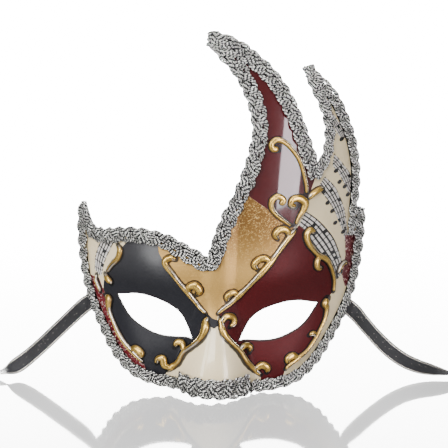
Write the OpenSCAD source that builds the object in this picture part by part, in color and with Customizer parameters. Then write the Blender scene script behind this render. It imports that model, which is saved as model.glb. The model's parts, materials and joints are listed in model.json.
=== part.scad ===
// Venetian masquerade half mask.
// A thin moulded shell with two plumes and a horn, edged with scalloped metallic braid,
// decorated with raised scrolls, and tied on with two flat satin ribbons.
// Millimetres. +Z is up, the face looks along -Y, and the mask stands on its lower edge.
// Shapes on the mask are laid out in the face frame: x across from the middle of the nose,
// z up from the foot of the nose. The depth behind the nose front comes from skin().

/* [Mask] */
// Width over the temples
mask_w = 182; // [152:1:219]
// Height from the foot of the nose to the tip of the plume
mask_h = 219; // [182:1:263]
// Depth from the front of the nose to the back of the temples
mask_d = 77; // [64:1:93]
// Wall of the moulded shell
shell_wall = 1.5; // [1:0.1:2.5]
// Lean towards the tall plume as the mask stands, in degrees
stance_lean = 2.3; // [0:0.1:3]

/* [Nose] */
// How far the foot of the nose stands out of the face
nose_out = 18; // [14:0.5:22]
// Width of the nose at its foot
nose_w = 52; // [44:1:60]
// How far the bridge stands out of the face
bridge_out = 3; // [2:0.5:5]
// Width of the bridge
bridge_w = 24; // [20:1:28]

/* [Eyes] */
// Distance between the middles of the eye openings
eye_spacing = 76; // [70:1:84]
// Height of the middle of an eye opening
eye_z = 44; // [40:1:50]
// Length of an eye opening
eye_w = 47; // [39:1:52]
// Height of an eye opening
eye_h = 24; // [18:1:27]
// Depth of the hollow round an eye
socket_depth = 5; // [0:0.5:7]

/* [Braid] */
// Width of the edging braid
braid_w = 9.5; // [7:0.5:11]
// Width of the braid on the second plume, where it is stretched round tight bends
second_braid_w = 7; // [5:0.5:8]
// Width of the braid across the nose
nose_braid_w = 12.5; // [9:0.5:15]
// Thickness of the braid
braid_t = 2.6; // [1.8:0.1:3.2]
// How far the braid reaches past the edge of the shell
braid_overhang = 1.8; // [0.5:0.1:2.5]
// Length of one scallop
scallop_pitch = 8.6; // [6:0.2:11]
// How far a scallop stands out on each edge
scallop_out = 0.7; // [0:0.1:1.2]

/* [Relief] */
// Height of a raised scroll, as a share of its half width
relief_rise = 0.95; // [0.6:0.05:1.1]
// Width of the scrolls, as a multiple of the drawn width
relief_scale = 1; // [0.7:0.05:1.2]
// Bead of glue under the scrolls
scroll_glue = 0.55; // [0.4:0.05:0.7]
// Bead of glue under the braid and the patches
glue_gap = 0.4; // [0.3:0.05:0.6]

/* [Ribbons] */
// Width of a ribbon
ribbon_w = 10; // [6:0.5:12]
// Thickness of a ribbon
ribbon_t = 0.6; // [0.4:0.1:0.8]
// Outer radius of a rolled ribbon end
roll_outer = 30; // [28:0.5:34]
// Inner radius of a rolled ribbon end
roll_inner = 20; // [18:0.5:22]
// Width of the band that ties a roll
tie_w = 5; // [3:0.5:8]
// Thickness of the band that ties a roll
tie_t = 0.5; // [0.4:0.1:1]
// Gap between a roll and its band
tie_gap = 0.2; // [0.1:0.05:0.4]
// Side of the cloth patch that holds a ribbon's end
patch_size = 17; // [14:0.5:20]
// Thickness of the patch
patch_t = 0.7; // [0.5:0.1:1]

/* [Hidden] */

// The outlines below are drawn on a mask of these sizes and stretched to the real ones.
drawn_w = 182;
drawn_h = 219;
drawn_eye_spacing = 76;
drawn_eye_z = 44;
drawn_eye_w = 47;
drawn_eye_h = 24;

// Where the middle of the nose stands, and how far the foot of the nose is off the floor,
// which puts the lowest scallop of the braid on it.
nose_x = -3.6;
foot_lift = 1.35;
// Spacing of the mesh points over the shell.
mesh_step = 4.6;
// Finest step when a slope is measured.
slope_step = 0.4;
// How far the mesh reaches past the drawn edge.
mesh_margin = 4;
// Pieces on each stretch of an outline, a scroll and a ribbon.
outline_cuts = 4;
scroll_cuts = 3;
ribbon_cuts = 3;

// The nose grows out of the face over this much height, below this height.
nose_top = 62;
nose_fade = 56;
// The sides of the mask curve back by a mix of a square and a fourth power of x, and the
// plumes curve back less than the cheeks.
wrap_depth = mask_d - nose_out - 1;
wrap_round = 0.44;
plume_flat = 0.22;
plume_flat_z = 90;
plume_flat_run = 120;
// The plumes lean back above this height, by this much at the tip.
crown_z = 75;
crown_run = 145;
crown_lean = 12;
// The brow ridge and the cheek bone: how far out, and where.
brow_out = 2.5;
brow_x = 32;
brow_z = 68;
brow_slant = 0.12;
cheek_out = 1.5;
cheek_x = 42;
cheek_z = 20;
// The hollow of an eye: its half length and half height as shares of the opening, and slant.
socket_long = 0.55;
socket_high = 0.67;
eye_slant = 0.35;

// Lengths left free of braid at the start and the end of each edge, where another takes over.
brow_free = [13, 27];
plume_free = [1, 4.5];
second_inner_free = [7, 1];
second_outer_free = [26, 2];
side_start_free = 1;
nose_free = [0, 0];
// Gap between the braid across the nose and a side braid.
nose_join_gap = 2.65;

// Each branch of a scroll sits this much higher than the last, so that their tops cross cleanly.
branch_lift = 0.13;
// Thinnest half width of a scroll.
fine_end = 0.3;
// A patch is shorter along the ribbon than across it, and lies over it like a tunnel.
patch_short = 0.62;
patch_cuts = 6;
patch_play = 0.8;
patch_lift = 1.7;
patch_run_back = 1.5;
patch_drop = 1.2;
// The rolls lie on their ties, and the ties on the floor.
roll_floor = tie_t + tie_gap;

/* ---- General functions ---- */

function smooth_step(t) = let (c = min(max(t, 0), 1)) c * c * (3 - 2 * c);
function bell(t) = exp(-t * t);
function unit(v) = v / norm(v);
function flipped(pts) = [for (p = pts) [-p[0], p[1]]];
function backwards(pts) = [for (i = [len(pts) - 1:-1:0]) pts[i]];

// A smooth curve through hand-placed points, each stretch cut into n pieces.
function curve_point(a, b, c, d, t) =
    0.5 * (2 * b + (c - a) * t + (2 * a - 5 * b + 4 * c - d) * t * t
    + (3 * b - a - 3 * c + d) * t * t * t);
function curve(pts, n) = let (last = len(pts) - 1)
    concat(
        [for (i = [0:last - 1]) for (k = [0:n - 1])
            curve_point(
                i > 0 ? pts[i - 1] : 2 * pts[0] - pts[1], pts[i], pts[i + 1],
                i < last - 1 ? pts[i + 2] : 2 * pts[last] - pts[last - 1], k / n)],
        [pts[last]]);

// Closed solid over rings of equally many points, one after the other.
module ring_solid(rings) {
    sides = len(rings[0]);
    last = len(rings) - 1;
    polyhedron(
        points = [for (r = rings) for (p = r) p],
        faces = concat(
            [for (i = [0:last - 1]) for (k = [0:sides - 1]) for (half = [0, 1])
                let (a = i * sides + k, b = i * sides + (k + 1) % sides)
                half == 0 ? [a, b, b + sides] : [a, b + sides, a + sides]],
            [[for (k = [sides - 1:-1:0]) k]],
            [[for (k = [0:sides - 1]) last * sides + k]]));
}

/* ---- The face surface ---- */

// A point drawn on the nominal mask, moved to the real one. Points near an eye follow it.
function placed(p) = let (
        q = [p[0] * mask_w / drawn_w, p[1] * mask_h / drawn_h],
        side = p[0] < 0 ? -1 : 1,
        dx = abs(p[0]) - drawn_eye_spacing / 2,
        dz = p[1] - drawn_eye_z,
        near = bell(pow(norm([dx / 34, dz / 26]), 2)),
        goal = [side * (eye_spacing / 2 + dx * eye_w / drawn_eye_w), eye_z + dz * eye_h / drawn_eye_h],
        still = [side * (drawn_eye_spacing / 2 + dx), drawn_eye_z + dz])
    q + near * (goal - still);
function placed_all(pts) = [for (p = pts) placed(p)];

// Depth of the moulded front behind the front of the nose, at x across and z up.
function nose_share(z) = smooth_step((nose_top - z) / nose_fade);
function nose_skin(x, z) = let (
        u = nose_share(z),
        out = bridge_out + (nose_out - bridge_out) * u,
        half = (bridge_w + (nose_w - bridge_w) * u) / 2,
        q = min(abs(x) / half, 1))
    out * pow(1 - pow(q, 2.2 + 0.8 * u), 2);
function socket_skin(x, z) = let (
        ex = abs(x) - eye_spacing / 2,
        ez = z - eye_z - eye_slant * ex)
    socket_depth * bell(ex / (eye_w * socket_long)) * bell(ez / (eye_h * socket_high));
function brow_skin(x, z) =
    brow_out * bell((z - brow_z - brow_slant * abs(x)) / 11) * bell((abs(x) - brow_x) / 30);
function cheek_skin(x, z) = cheek_out * bell((abs(x) - cheek_x) / 18) * bell((z - cheek_z) / 12);
function wrap_skin(x, z) = let (
        s = abs(x) / (mask_w / 2),
        flatter = 1 - plume_flat * smooth_step((z - plume_flat_z) / plume_flat_run))
    wrap_depth * (wrap_round * pow(s, 2) + (1 - wrap_round) * pow(s, 4)) * flatter;
function crown_skin(z) = crown_lean * pow(max((z - crown_z) / crown_run, 0), 2);
function skin(x, z) =
    nose_out + wrap_skin(x, z) + crown_skin(z) + socket_skin(x, z)
    - nose_skin(x, z) - brow_skin(x, z) - cheek_skin(x, z);

// Unit vector out of the front surface.
function skin_normal(x, z) = unit([
    (skin(x + slope_step, z) - skin(x - slope_step, z)) / (2 * slope_step),
    -1,
    (skin(x, z + slope_step) - skin(x, z - slope_step)) / (2 * slope_step)]);
// Point at a height over the front surface. A negative height is inside the mask.
function over_skin(x, z, height) = [x, skin(x, z), z] + skin_normal(x, z) * height;
// Point straight behind the front surface, a wall's thickness away from it.
function behind_skin(x, z) = [x, skin(x, z) - shell_wall / skin_normal(x, z)[1], z];
// Point at a height over the inner surface.
function inside_skin(x, z, height) = behind_skin(x, z) - skin_normal(x, z) * height;

// Stand what is drawn in the face frame on the floor, with its depth centred on the origin.
module stand()
    translate([nose_x, glue_gap + braid_t - mask_d / 2, foot_lift])
        rotate([0, stance_lean, 0]) children();

/* ---- Outline of the shell, drawn on the nominal mask ---- */

horn_tip = [-85.5, 105.5];
valley = [-6.2, 82.4];
plume_tip = [-12.5, 216.2];
second_valley = [56.4, 138];
second_tip = [45.8, 199.2];
temple_notch = [81.9, 110];
temple_tip = [87.5, 108.5];
nose_foot = [0, 1.8];

cheek_edge = [[12, 1.8], [24, 2.2], [34, 2.9], [44, 5], [53, 9.2], [61.7, 17.6], [69, 28.5], [75.5, 40]];
left_edge = concat([horn_tip, [-88, 97], [-87.8, 86], [-86.4, 74], [-84.2, 62.5], [-80.8, 51.5]],
    backwards(flipped(cheek_edge)), [nose_foot]);
right_edge = concat([temple_tip, [87.6, 97], [87.2, 86], [86, 74], [83.8, 62], [80.6, 51]],
    backwards(cheek_edge), [nose_foot]);
nose_edge = [[-20, 2], [-12, 1.8], nose_foot, [12, 1.8], [20, 2]];
brow_edge = [horn_tip, [-82.6, 98], [-78.5, 91.8], [-71, 91.2], [-61, 94], [-50, 95.8], [-40, 95.4],
    [-31, 93.6], [-22.5, 89.6], [-14, 85.3], valley];
plume_left_edge = [valley, [-3.4, 90.5], [-1, 100], [2.5, 110], [7.3, 119.8], [12, 131], [16, 144.5],
    [18.2, 158.5], [16.4, 171.5], [11.4, 184], [3, 196.5], [-6.6, 206.8], plume_tip];
plume_right_edge = [plume_tip, [0, 214.3], [15.5, 205.3], [28, 194.5], [38, 181], [45, 167],
    [50.5, 153], second_valley];
second_inner_edge = [second_valley, [60, 145.2], [61.4, 155], [60.3, 166], [56.6, 176.5],
    [51.2, 186.5], second_tip];
second_outer_edge = [second_tip, [54.2, 192.6], [61.3, 186], [67.4, 177.5], [72.6, 167],
    [77, 156], [80, 145], [81.9, 133], [82.2, 121], temple_notch];

function outline() = let (loops = [
        backwards(left_edge), brow_edge, plume_left_edge, plume_right_edge,
        second_inner_edge, second_outer_edge, [temple_notch, temple_tip], right_edge])
    [for (e = loops) let (c = curve(placed_all(e), outline_cuts)) for (i = [0:len(c) - 2]) c[i]];

// Lids of an eye opening, as shares of its half length and half height, from the inner corner.
upper_lid = [[-1, -0.97], [-0.7, 0.15], [-0.25, 0.7], [0.38, 0.95], [1, 0.74]];
lower_lid = [[1, 0.74], [0.65, -0.25], [0.17, -0.8], [-0.3, -1.02], [-1, -0.97]];
function eye_outline() = let (upper = curve(upper_lid, 5), lower = curve(lower_lid, 5))
    [for (p = concat(upper, [for (i = [1:len(lower) - 2]) lower[i]]))
        [eye_spacing / 2 + p[0] * eye_w / 2, eye_z + p[1] * eye_h / 2]];

/* ---- The shell ---- */

module skin_slab() {
    nx = ceil((mask_w + 2 * mesh_margin) / mesh_step);
    nz = ceil((mask_h + 2 * mesh_margin) / mesh_step);
    xs = [for (i = [0:nx]) -mask_w / 2 - mesh_margin + i * (mask_w + 2 * mesh_margin) / nx];
    zs = [for (j = [0:nz]) -mesh_margin + j * (mask_h + 2 * mesh_margin) / nz];
    layer = (nx + 1) * (nz + 1);
    function at(i, j, back) = back * layer + j * (nx + 1) + i;
    function quad(a, b, c, d) = [[a, b, c], [a, c, d]];
    polyhedron(
        points = concat(
            [for (z = zs) for (x = xs) [x, skin(x, z), z]],
            [for (z = zs) for (x = xs) behind_skin(x, z)]),
        faces = concat(
            [for (j = [0:nz - 1]) for (i = [0:nx - 1])
                each quad(at(i, j, 0), at(i, j + 1, 0), at(i + 1, j + 1, 0), at(i + 1, j, 0))],
            [for (j = [0:nz - 1]) for (i = [0:nx - 1])
                each quad(at(i, j, 1), at(i + 1, j, 1), at(i + 1, j + 1, 1), at(i, j + 1, 1))],
            [for (j = [0:nz - 1])
                each quad(at(0, j, 0), at(0, j, 1), at(0, j + 1, 1), at(0, j + 1, 0))],
            [for (j = [0:nz - 1])
                each quad(at(nx, j, 0), at(nx, j + 1, 0), at(nx, j + 1, 1), at(nx, j, 1))],
            [for (i = [0:nx - 1])
                each quad(at(i, 0, 0), at(i + 1, 0, 0), at(i + 1, 0, 1), at(i, 0, 1))],
            [for (i = [0:nx - 1])
                each quad(at(i, nz, 0), at(i, nz, 1), at(i + 1, nz, 1), at(i + 1, nz, 0))]));
}

module through_face(shape) {
    rotate([90, 0, 0]) translate([0, 0, -2 * mask_d]) linear_extrude(4 * mask_d) polygon(shape);
}

module mask_shell() color("ivory") stand()
    resize([0, 0, 0]) difference() {
        intersection() {
            skin_slab();
            through_face(outline());
        }
        through_face(eye_outline());
        through_face(flipped(eye_outline()));
    }

/* ---- The braid ---- */

// Running length along a line drawn on the skin.
function line_lengths(line, i = 0, sum = 0, out = []) =
    i == len(line) ? out : let (
        p = line[i],
        q = line[max(i - 1, 0)],
        step = norm([p[0] - q[0], skin(p[0], p[1]) - skin(q[0], q[1]), p[1] - q[1]]),
        total = sum + step)
    line_lengths(line, i + 1, total, concat(out, [total]));
function at_length(line, lengths, s) = [
    lookup(s, [for (i = [0:len(line) - 1]) [lengths[i], line[i][0]]]),
    lookup(s, [for (i = [0:len(line) - 1]) [lengths[i], line[i][1]]])];

// Section of the braid: share of the width from the outer edge, and share of the thickness.
braid_section = [[0, 0.1], [0.15, 0], [0.85, 0], [1, 0.1], [1, 0.55],
    [0.8, 1], [0.5, 0.85], [0.2, 1], [0, 0.55]];

// A braid along an edge, but for the free lengths at its two ends. Inside is the side of the
// edge, 1 or -1, that the shell lies on.
module braid(edge, width, free, inside) {
    line = curve(placed_all(edge), outline_cuts);
    lengths = line_lengths(line);
    full = lengths[len(lengths) - 1];
    run = full - free[0] - free[1];
    rings = 2 * max(round(run / scallop_pitch), 1);
    ring_solid([for (i = [0:rings]) let (
            s = free[0] + run * i / rings,
            p = at_length(line, lengths, s),
            ahead = at_length(line, lengths, min(s + 1, full)),
            behind = at_length(line, lengths, max(s - 1, 0)),
            n = skin_normal(p[0], p[1]),
            a = [ahead[0], skin(ahead[0], ahead[1]), ahead[1]],
            b = [behind[0], skin(behind[0], behind[1]), behind[1]],
            across = inside * unit(cross(n, unit(a - b))),
            swell = i % 2 == 1 ? scallop_out : 0)
        [for (c = inside > 0 ? backwards(braid_section) : braid_section) let (
                along = -braid_overhang - swell + c[0] * (width + 2 * swell),
                x = p[0] + across[0] * along,
                z = p[1] + across[2] * along)
            over_skin(x, z, glue_gap + c[1] * braid_t)]]);
}

// Length of an edge over the skin. A side braid ends beside the braid across the nose.
function edge_length(edge) = let (
        line = curve(placed_all(edge), outline_cuts),
        lengths = line_lengths(line))
    lengths[len(lengths) - 1];
side_free = [side_start_free, edge_length(nose_edge) / 2 + nose_join_gap];

function after_first(pts) = [for (i = [1:len(pts) - 1]) pts[i]];
module braid_brow() color("silver") stand()
    braid(concat(brow_edge, after_first(plume_left_edge)), braid_w, brow_free, -1);
module braid_plume_right() color("silver") stand()
    braid(plume_right_edge, braid_w, plume_free, -1);
module braid_second_plume_inner() color("silver") stand()
    braid(second_inner_edge, second_braid_w, second_inner_free, -1);
module braid_second_plume_outer() color("silver") stand()
    braid(second_outer_edge, second_braid_w, second_outer_free, -1);
module braid_right_side() color("silver") stand() braid(right_edge, braid_w, side_free, -1);
module braid_left_side() color("silver") stand() braid(left_edge, braid_w, side_free, 1);
module braid_nose() color("silver") stand() braid(nose_edge, nose_braid_w, nose_free, 1);

/* ---- The raised scrolls ---- */

// Section of a scroll: shares of its half width across and up.
scroll_section = [[-0.92, 0.55], [-0.45, 1], [0.45, 1], [0.92, 0.55], [1, 0], [-1, 0]];
// A scroll stroke: points [x, z, half width] drawn on the nominal mask.
module stroke(pts, lift) {
    line = curve([for (p = pts) let (q = placed(p)) [q[0], q[1], p[2] * relief_scale]], scroll_cuts);
    last = len(line) - 1;
    ring_solid([for (i = [0:last]) let (
            p = line[i],
            half = max(p[2], fine_end),
            a = line[min(i + 1, last)],
            b = line[max(i - 1, 0)],
            n = skin_normal(p[0], p[1]),
            ahead = unit([a[0] - b[0], skin(a[0], a[1]) - skin(b[0], b[1]), a[1] - b[1]]),
            across = unit(cross(n, ahead)))
        [for (c = scroll_section)
            over_skin(p[0] + across[0] * c[0] * half, p[1] + across[2] * c[0] * half,
                scroll_glue + lift + c[1] * half * relief_rise)]]);
}
// The strokes of one scroll run together. Each branch sits a little higher than the last.
module scroll(strokes) color("goldenrod") stand() resize([0, 0, 0]) union() {
    for (i = [0:len(strokes) - 1]) stroke(strokes[i], i * branch_lift);
}

module relief_nose_left_upper() scroll([
    [[-25.6, 80.6, 1.2], [-28.8, 81.2, 1.9], [-32, 79.2, 2.1], [-31.6, 76.4, 1.8], [-27.5, 71.8, 1.5],
        [-23, 66.4, 1.4], [-18.6, 61.6, 1.7], [-14.8, 57, 1.4], [-10, 51.8, 1.3], [-6.4, 49, 0.9]],
    [[-17.6, 60.4, 1.4], [-17.2, 64.4, 2], [-13.6, 65.6, 2.6], [-10.6, 62.4, 2.4], [-12.2, 59.6, 1.2]]]);
module relief_nose_left_lower() scroll([
    [[-5, 47, 0.8], [-6.2, 44, 2], [-6, 40.4, 2.6], [-8.2, 35, 2], [-13, 29.2, 1.4], [-18.6, 23.6, 1.7],
        [-22, 17, 1.8], [-26.2, 13, 1.9], [-28.6, 10.8, 1]],
    [[-18.6, 23.6, 1.4], [-19.6, 27.6, 2.2], [-23, 28.4, 2], [-24.8, 25.4, 1.3]],
    [[-26.6, 12.6, 1.4], [-30.4, 14, 2.1], [-31.6, 18, 2.2], [-34.8, 17.4, 1.6], [-35.4, 14.4, 1]]]);
module relief_nose_right_lower() scroll([
    [[2.4, 47, 0.9], [3, 43.4, 1.5], [4.6, 38.4, 1.9], [8.8, 33.2, 1.5], [14.6, 26.8, 1.5],
        [19.4, 19.4, 1.6], [24.6, 13.6, 1.6], [28.4, 10.6, 1]],
    [[3, 44, 1.2], [5.4, 47.6, 1.8], [9.4, 47, 2], [10.4, 43.6, 1.8], [8.4, 41.4, 1]],
    [[14.6, 26.8, 1.2], [17.6, 28.8, 1.9], [21, 27.6, 1.9], [21, 24.6, 1.1]],
    [[24.6, 13.6, 1.2], [28.4, 16.6, 2.1], [32, 15.4, 2.1], [32, 12, 1.2]]]);
module relief_forehead() scroll([
    [[0.6, 49.4, 0.8], [3.4, 52, 1.2], [8.4, 56, 1.5], [12.8, 60.2, 1.8], [17, 64.6, 1.3],
        [21.6, 69.8, 1.3], [26.4, 75.2, 1.8], [31, 80.8, 1.9], [34.6, 85.8, 1.4], [38.4, 91.4, 1.6],
        [42.6, 97.2, 1.7], [45.4, 100.4, 0.9]],
    [[12.8, 60.2, 1.4], [9.6, 62.4, 1.8], [5.8, 60.4, 1.7], [5.8, 56.8, 1.1]],
    [[30.6, 80.4, 1.4], [28.4, 83.2, 2], [24, 82.6, 2], [21.4, 79.4, 1.8], [23.4, 76.6, 1]],
    [[42, 96.4, 1.4], [39.6, 100.6, 2], [35.4, 100.8, 2], [33, 97.8, 1.8], [35, 94.8, 1]]]);
module relief_plume_curl() scroll([
    [[35.4, 115.6, 1.7], [37.2, 118.8, 1.9], [33.8, 121, 1.8], [30.4, 118.6, 1.8], [30.4, 113.8, 1.6],
        [33.8, 109.6, 1.4], [38.6, 105.8, 1.2], [42.6, 103, 0.9]]]);
module relief_plume_hook() scroll([
    [[45, 114.6, 1.4], [41.8, 115.8, 1.7], [42.6, 119, 2], [46.6, 119.6, 2.3], [50.2, 116.8, 2.4],
        [49.4, 112.4, 1.8], [47, 107.8, 1.3], [45.4, 103.8, 0.9]]]);
module relief_plume_arc() scroll([
    [[33, 149.4, 1.7], [29.4, 149.6, 1.9], [28.6, 152.8, 1.8], [31.8, 155, 1.8], [36.6, 153.4, 1.6],
        [41, 149.4, 1.4], [45.4, 143.4, 1.3], [48.4, 135.8, 1.2], [50.6, 127.2, 1.1], [51, 122.6, 0.9]]]);
module relief_plume_leaf() scroll([
    [[52.4, 119.2, 1], [55, 122.2, 1.9], [59.2, 124.6, 1.7], [61.4, 124.4, 0.8]]]);
module relief_temple_right() scroll([
    [[57.2, 97.8, 1.4], [54.2, 99.8, 1.9], [52.2, 96.8, 2], [53.8, 91.4, 1.8], [57.6, 86.6, 1.5],
        [60.8, 83.4, 1.6], [64.6, 81, 1.8], [67.6, 77.4, 1.5], [70, 71.6, 1.3], [71.4, 65.6, 1.1],
        [71.4, 58.6, 1]],
    [[61.2, 83.2, 1.4], [59.4, 79.8, 1.8], [60, 76, 1.7], [62.8, 75.4, 1.1]]]);
module relief_twig_right() scroll([
    [[73.6, 69.8, 0.9], [75, 73.6, 1.3], [77.4, 75.8, 1.3], [79.2, 74.6, 0.8]]]);
module relief_cheek_right() scroll([
    [[67.8, 54.6, 2], [66, 51.6, 2.2], [67.4, 48.4, 1.6], [66.8, 42.6, 1.2], [64, 36, 1.2],
        [60.6, 29.8, 1.4], [56, 23.8, 1.2], [50.6, 19.8, 1.6], [46.2, 16.6, 1.4], [43.4, 13.6, 0.9]],
    [[61.6, 31.4, 1.1], [59.8, 34.2, 1.5], [57.2, 33.2, 1]],
    [[50.6, 19.8, 1.4], [47.6, 22, 2], [44.4, 20.4, 1.9], [44.2, 17.2, 1]]]);
module relief_temple_left() scroll([
    [[-62.2, 84.2, 1], [-60.4, 81.2, 1.9], [-61.6, 76.2, 1.8], [-65.6, 71, 1.4], [-68.4, 66.2, 1.1]],
    [[-70.2, 64, 0.9], [-68.6, 61.8, 1.9], [-66.4, 59.8, 1.8], [-66, 58.2, 0.9]]]);
module relief_twig_left() scroll([
    [[-76.2, 61.6, 0.8], [-76, 57.6, 1.3], [-74, 54, 1.2], [-73.2, 51.4, 0.8]]]);
module relief_cheek_left() scroll([
    [[-69.6, 50.2, 1.3], [-67, 48.8, 2.2], [-67, 45, 2], [-66.4, 41, 1.3], [-63.2, 34.6, 1.2],
        [-60.2, 29.2, 1.6], [-56.2, 24.2, 1.5], [-51.6, 20.2, 1.5], [-47.4, 16.8, 1.2],
        [-44, 14.2, 0.8]],
    [[-51.6, 20.2, 1.4], [-48.8, 21.8, 2.3], [-45, 19.6, 2.3], [-45.6, 16.8, 1.2]]]);

/* ---- The ribbons ---- */

// A ribbon's way from its glued end to its roll: x, y, z, and its turn from standing on edge,
// in degrees. Chosen by hand.
left_route = [
    [-70.6, 12.7, 56.8, 0], [-76.1, 19.1, 52, 0], [-81.3, 25.1, 47.4, 0], [-87, 28.1, 42.8, 0],
    [-94.5, 27, 36, 0], [-103.5, 23.8, 27.8, 0], [-112.5, 20.4, 19.6, 0], [-121, 17.4, 12.5, 4],
    [-128.5, 15, 7.2, 30], [-135.5, 13.2, 4.2, 82], [-143, 11.8, 2.8, 96], [-151.5, 10.8, 1.6, 92],
    [-159.5, 10.5, 2, 76], [-167.5, 10.5, 4.4, 34], [-177.5, 10.5, 5.7, 0]];
right_route = [
    [69.6, 15, 53, 0], [74.6, 21.2, 48.5, 0], [79.5, 27, 44, 0], [85, 28.6, 39, 0],
    [91.5, 26.2, 31.6, 0], [99, 22.4, 23.8, 0], [106.5, 19.4, 17.1, 0], [114.5, 17, 11.8, 4],
    [123, 15, 8.3, 12], [131.5, 13.4, 6.4, 28], [140, 12, 5, 52], [149.5, 11, 3, 78],
    [158.5, 10.5, 2.2, 74], [166.5, 10.5, 4.4, 34], [176.5, 10.5, 5.7, 0]];

ribbon_section = [[-1, -1], [-0.35, -1], [0.35, -1], [1, -1], [1, 1], [0.35, 1], [-0.35, 1], [-1, 1]];
module ribbon(route) {
    line = curve(route, ribbon_cuts);
    last = len(line) - 1;
    ring_solid([for (i = [0:last]) let (
            here = [line[i][0], line[i][1], line[i][2]],
            a = line[min(i + 1, last)],
            b = line[max(i - 1, 0)],
            ahead = unit([a[0] - b[0], a[1] - b[1], a[2] - b[2]]),
            edge = unit([0, 0, 1] - ahead[2] * ahead),
            flat = cross(ahead, edge),
            turn = line[i][3],
            wide = edge * cos(turn) + flat * sin(turn),
            thick = cross(wide, ahead))
        [for (c = ribbon_section) here + wide * c[0] * ribbon_w / 2 + thick * c[1] * ribbon_t / 2]]);
}
module ribbon_left() color("dimgray") ribbon(left_route);
module ribbon_right() color("dimgray") ribbon(right_route);

// The rolled end lies beside the last point of the route.
module ribbon_roll(route) {
    end = route[len(route) - 1];
    side = end[0] < 0 ? -1 : 1;
    translate([end[0] + side * (ribbon_t / 2), end[1] + roll_outer - ribbon_t / 2, roll_floor])
        rotate_extrude($fn = 48) translate([roll_inner, 0]) square([roll_outer - roll_inner, ribbon_w]);
}
module ribbon_roll_left() color("dimgray") ribbon_roll(left_route);
module ribbon_roll_right() color("dimgray") ribbon_roll(right_route);

// The tie is a closed band round the roll's far side.
module ribbon_tie(route) {
    end = route[len(route) - 1];
    side = end[0] < 0 ? -1 : 1;
    play = 2 * tie_gap;
    opening = [roll_outer - roll_inner + play + ribbon_t, tie_w, ribbon_w + play];
    translate([end[0], end[1] + roll_outer - ribbon_t / 2, 0])
        rotate([0, 0, side > 0 ? 0 : 180])
            translate([roll_inner - tie_gap - tie_t, -tie_w / 2, 0])
                difference() {
                    cube(opening + [2 * tie_t, 0, 2 * tie_t]);
                    translate([tie_t, -tie_w / 2, tie_t]) cube(opening + [0, tie_w, 0]);
                }
}
module ribbon_tie_left() color("black") ribbon_tie(left_route);
module ribbon_tie_right() color("black") ribbon_tie(right_route);

// A cloth patch glued inside the temple, over the end of a ribbon.
module ribbon_patch(route) {
    side = route[0][0] < 0 ? -1 : 1;
    x = route[0][0] - nose_x;
    z = route[0][2] - foot_lift;
    centre = [
        x * cos(stance_lean) - z * sin(stance_lean) + side * patch_run_back,
        x * sin(stance_lean) + z * cos(stance_lean) - patch_drop];
    step = route[1] - route[0];
    along = unit([step[0], step[2]]);
    across = [-along[1], along[0]];
    tunnel = ribbon_w / 2 + patch_play;
    rows = [-patch_size / 2, -tunnel - patch_play, -tunnel, 0, tunnel, tunnel + patch_play, patch_size / 2];
    function rise(v) = abs(v) > tunnel ? glue_gap : ribbon_t + patch_lift;
    function spot(u, v, more) = let (p = centre + along * u + across * v)
        inside_skin(p[0], p[1], rise(v) + more);
    stand() ring_solid([for (i = [0:patch_cuts])
        let (u = (i / patch_cuts - 0.5) * patch_size * patch_short)
        concat([for (v = rows) spot(u, v, 0)], [for (v = backwards(rows)) spot(u, v, patch_t)])]);
}
module ribbon_patch_left() color("black") ribbon_patch(left_route);
module ribbon_patch_right() color("black") ribbon_patch(right_route);

mask_shell();
braid_brow();
braid_plume_right();
braid_second_plume_inner();
braid_second_plume_outer();
braid_right_side();
braid_left_side();
braid_nose();
relief_nose_left_upper();
relief_nose_left_lower();
relief_nose_right_lower();
relief_forehead();
relief_plume_curl();
relief_plume_hook();
relief_plume_arc();
relief_plume_leaf();
relief_temple_right();
relief_cheek_right();
relief_twig_right();
relief_temple_left();
relief_cheek_left();
relief_twig_left();
ribbon_left();
ribbon_right();
ribbon_roll_left();
ribbon_roll_right();
ribbon_tie_left();
ribbon_tie_right();
ribbon_patch_left();
ribbon_patch_right();
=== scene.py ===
"""Looks of a venetian half mask: painted shell, raised gilt scrolls, gimp braid and satin ribbons.

Lengths are written in millimetres and become metres with MM. Shapes on the mask are laid out in
the face frame: x across from the middle of the nose, z up from its foot. skin() gives the depth.
"""
import json
import math

import bmesh
import bpy
import numpy as np
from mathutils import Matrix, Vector
from mathutils.geometry import delaunay_2d_cdt

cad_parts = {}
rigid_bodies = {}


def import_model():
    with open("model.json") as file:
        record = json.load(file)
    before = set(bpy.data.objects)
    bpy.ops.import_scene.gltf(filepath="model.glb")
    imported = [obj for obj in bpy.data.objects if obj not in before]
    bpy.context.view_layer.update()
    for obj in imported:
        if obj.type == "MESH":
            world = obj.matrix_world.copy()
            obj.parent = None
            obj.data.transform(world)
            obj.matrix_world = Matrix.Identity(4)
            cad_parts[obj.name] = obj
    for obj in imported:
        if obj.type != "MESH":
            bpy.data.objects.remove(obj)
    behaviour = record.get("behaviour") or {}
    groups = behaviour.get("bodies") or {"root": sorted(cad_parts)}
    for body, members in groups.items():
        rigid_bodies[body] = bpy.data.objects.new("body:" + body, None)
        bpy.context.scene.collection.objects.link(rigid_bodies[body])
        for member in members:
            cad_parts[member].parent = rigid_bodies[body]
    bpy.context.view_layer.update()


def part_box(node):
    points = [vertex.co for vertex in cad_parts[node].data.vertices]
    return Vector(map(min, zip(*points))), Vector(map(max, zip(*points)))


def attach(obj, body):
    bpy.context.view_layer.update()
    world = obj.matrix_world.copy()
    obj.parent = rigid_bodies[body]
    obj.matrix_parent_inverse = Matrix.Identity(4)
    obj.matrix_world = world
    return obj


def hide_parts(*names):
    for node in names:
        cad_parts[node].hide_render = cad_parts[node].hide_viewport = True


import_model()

MM = 0.001

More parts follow.
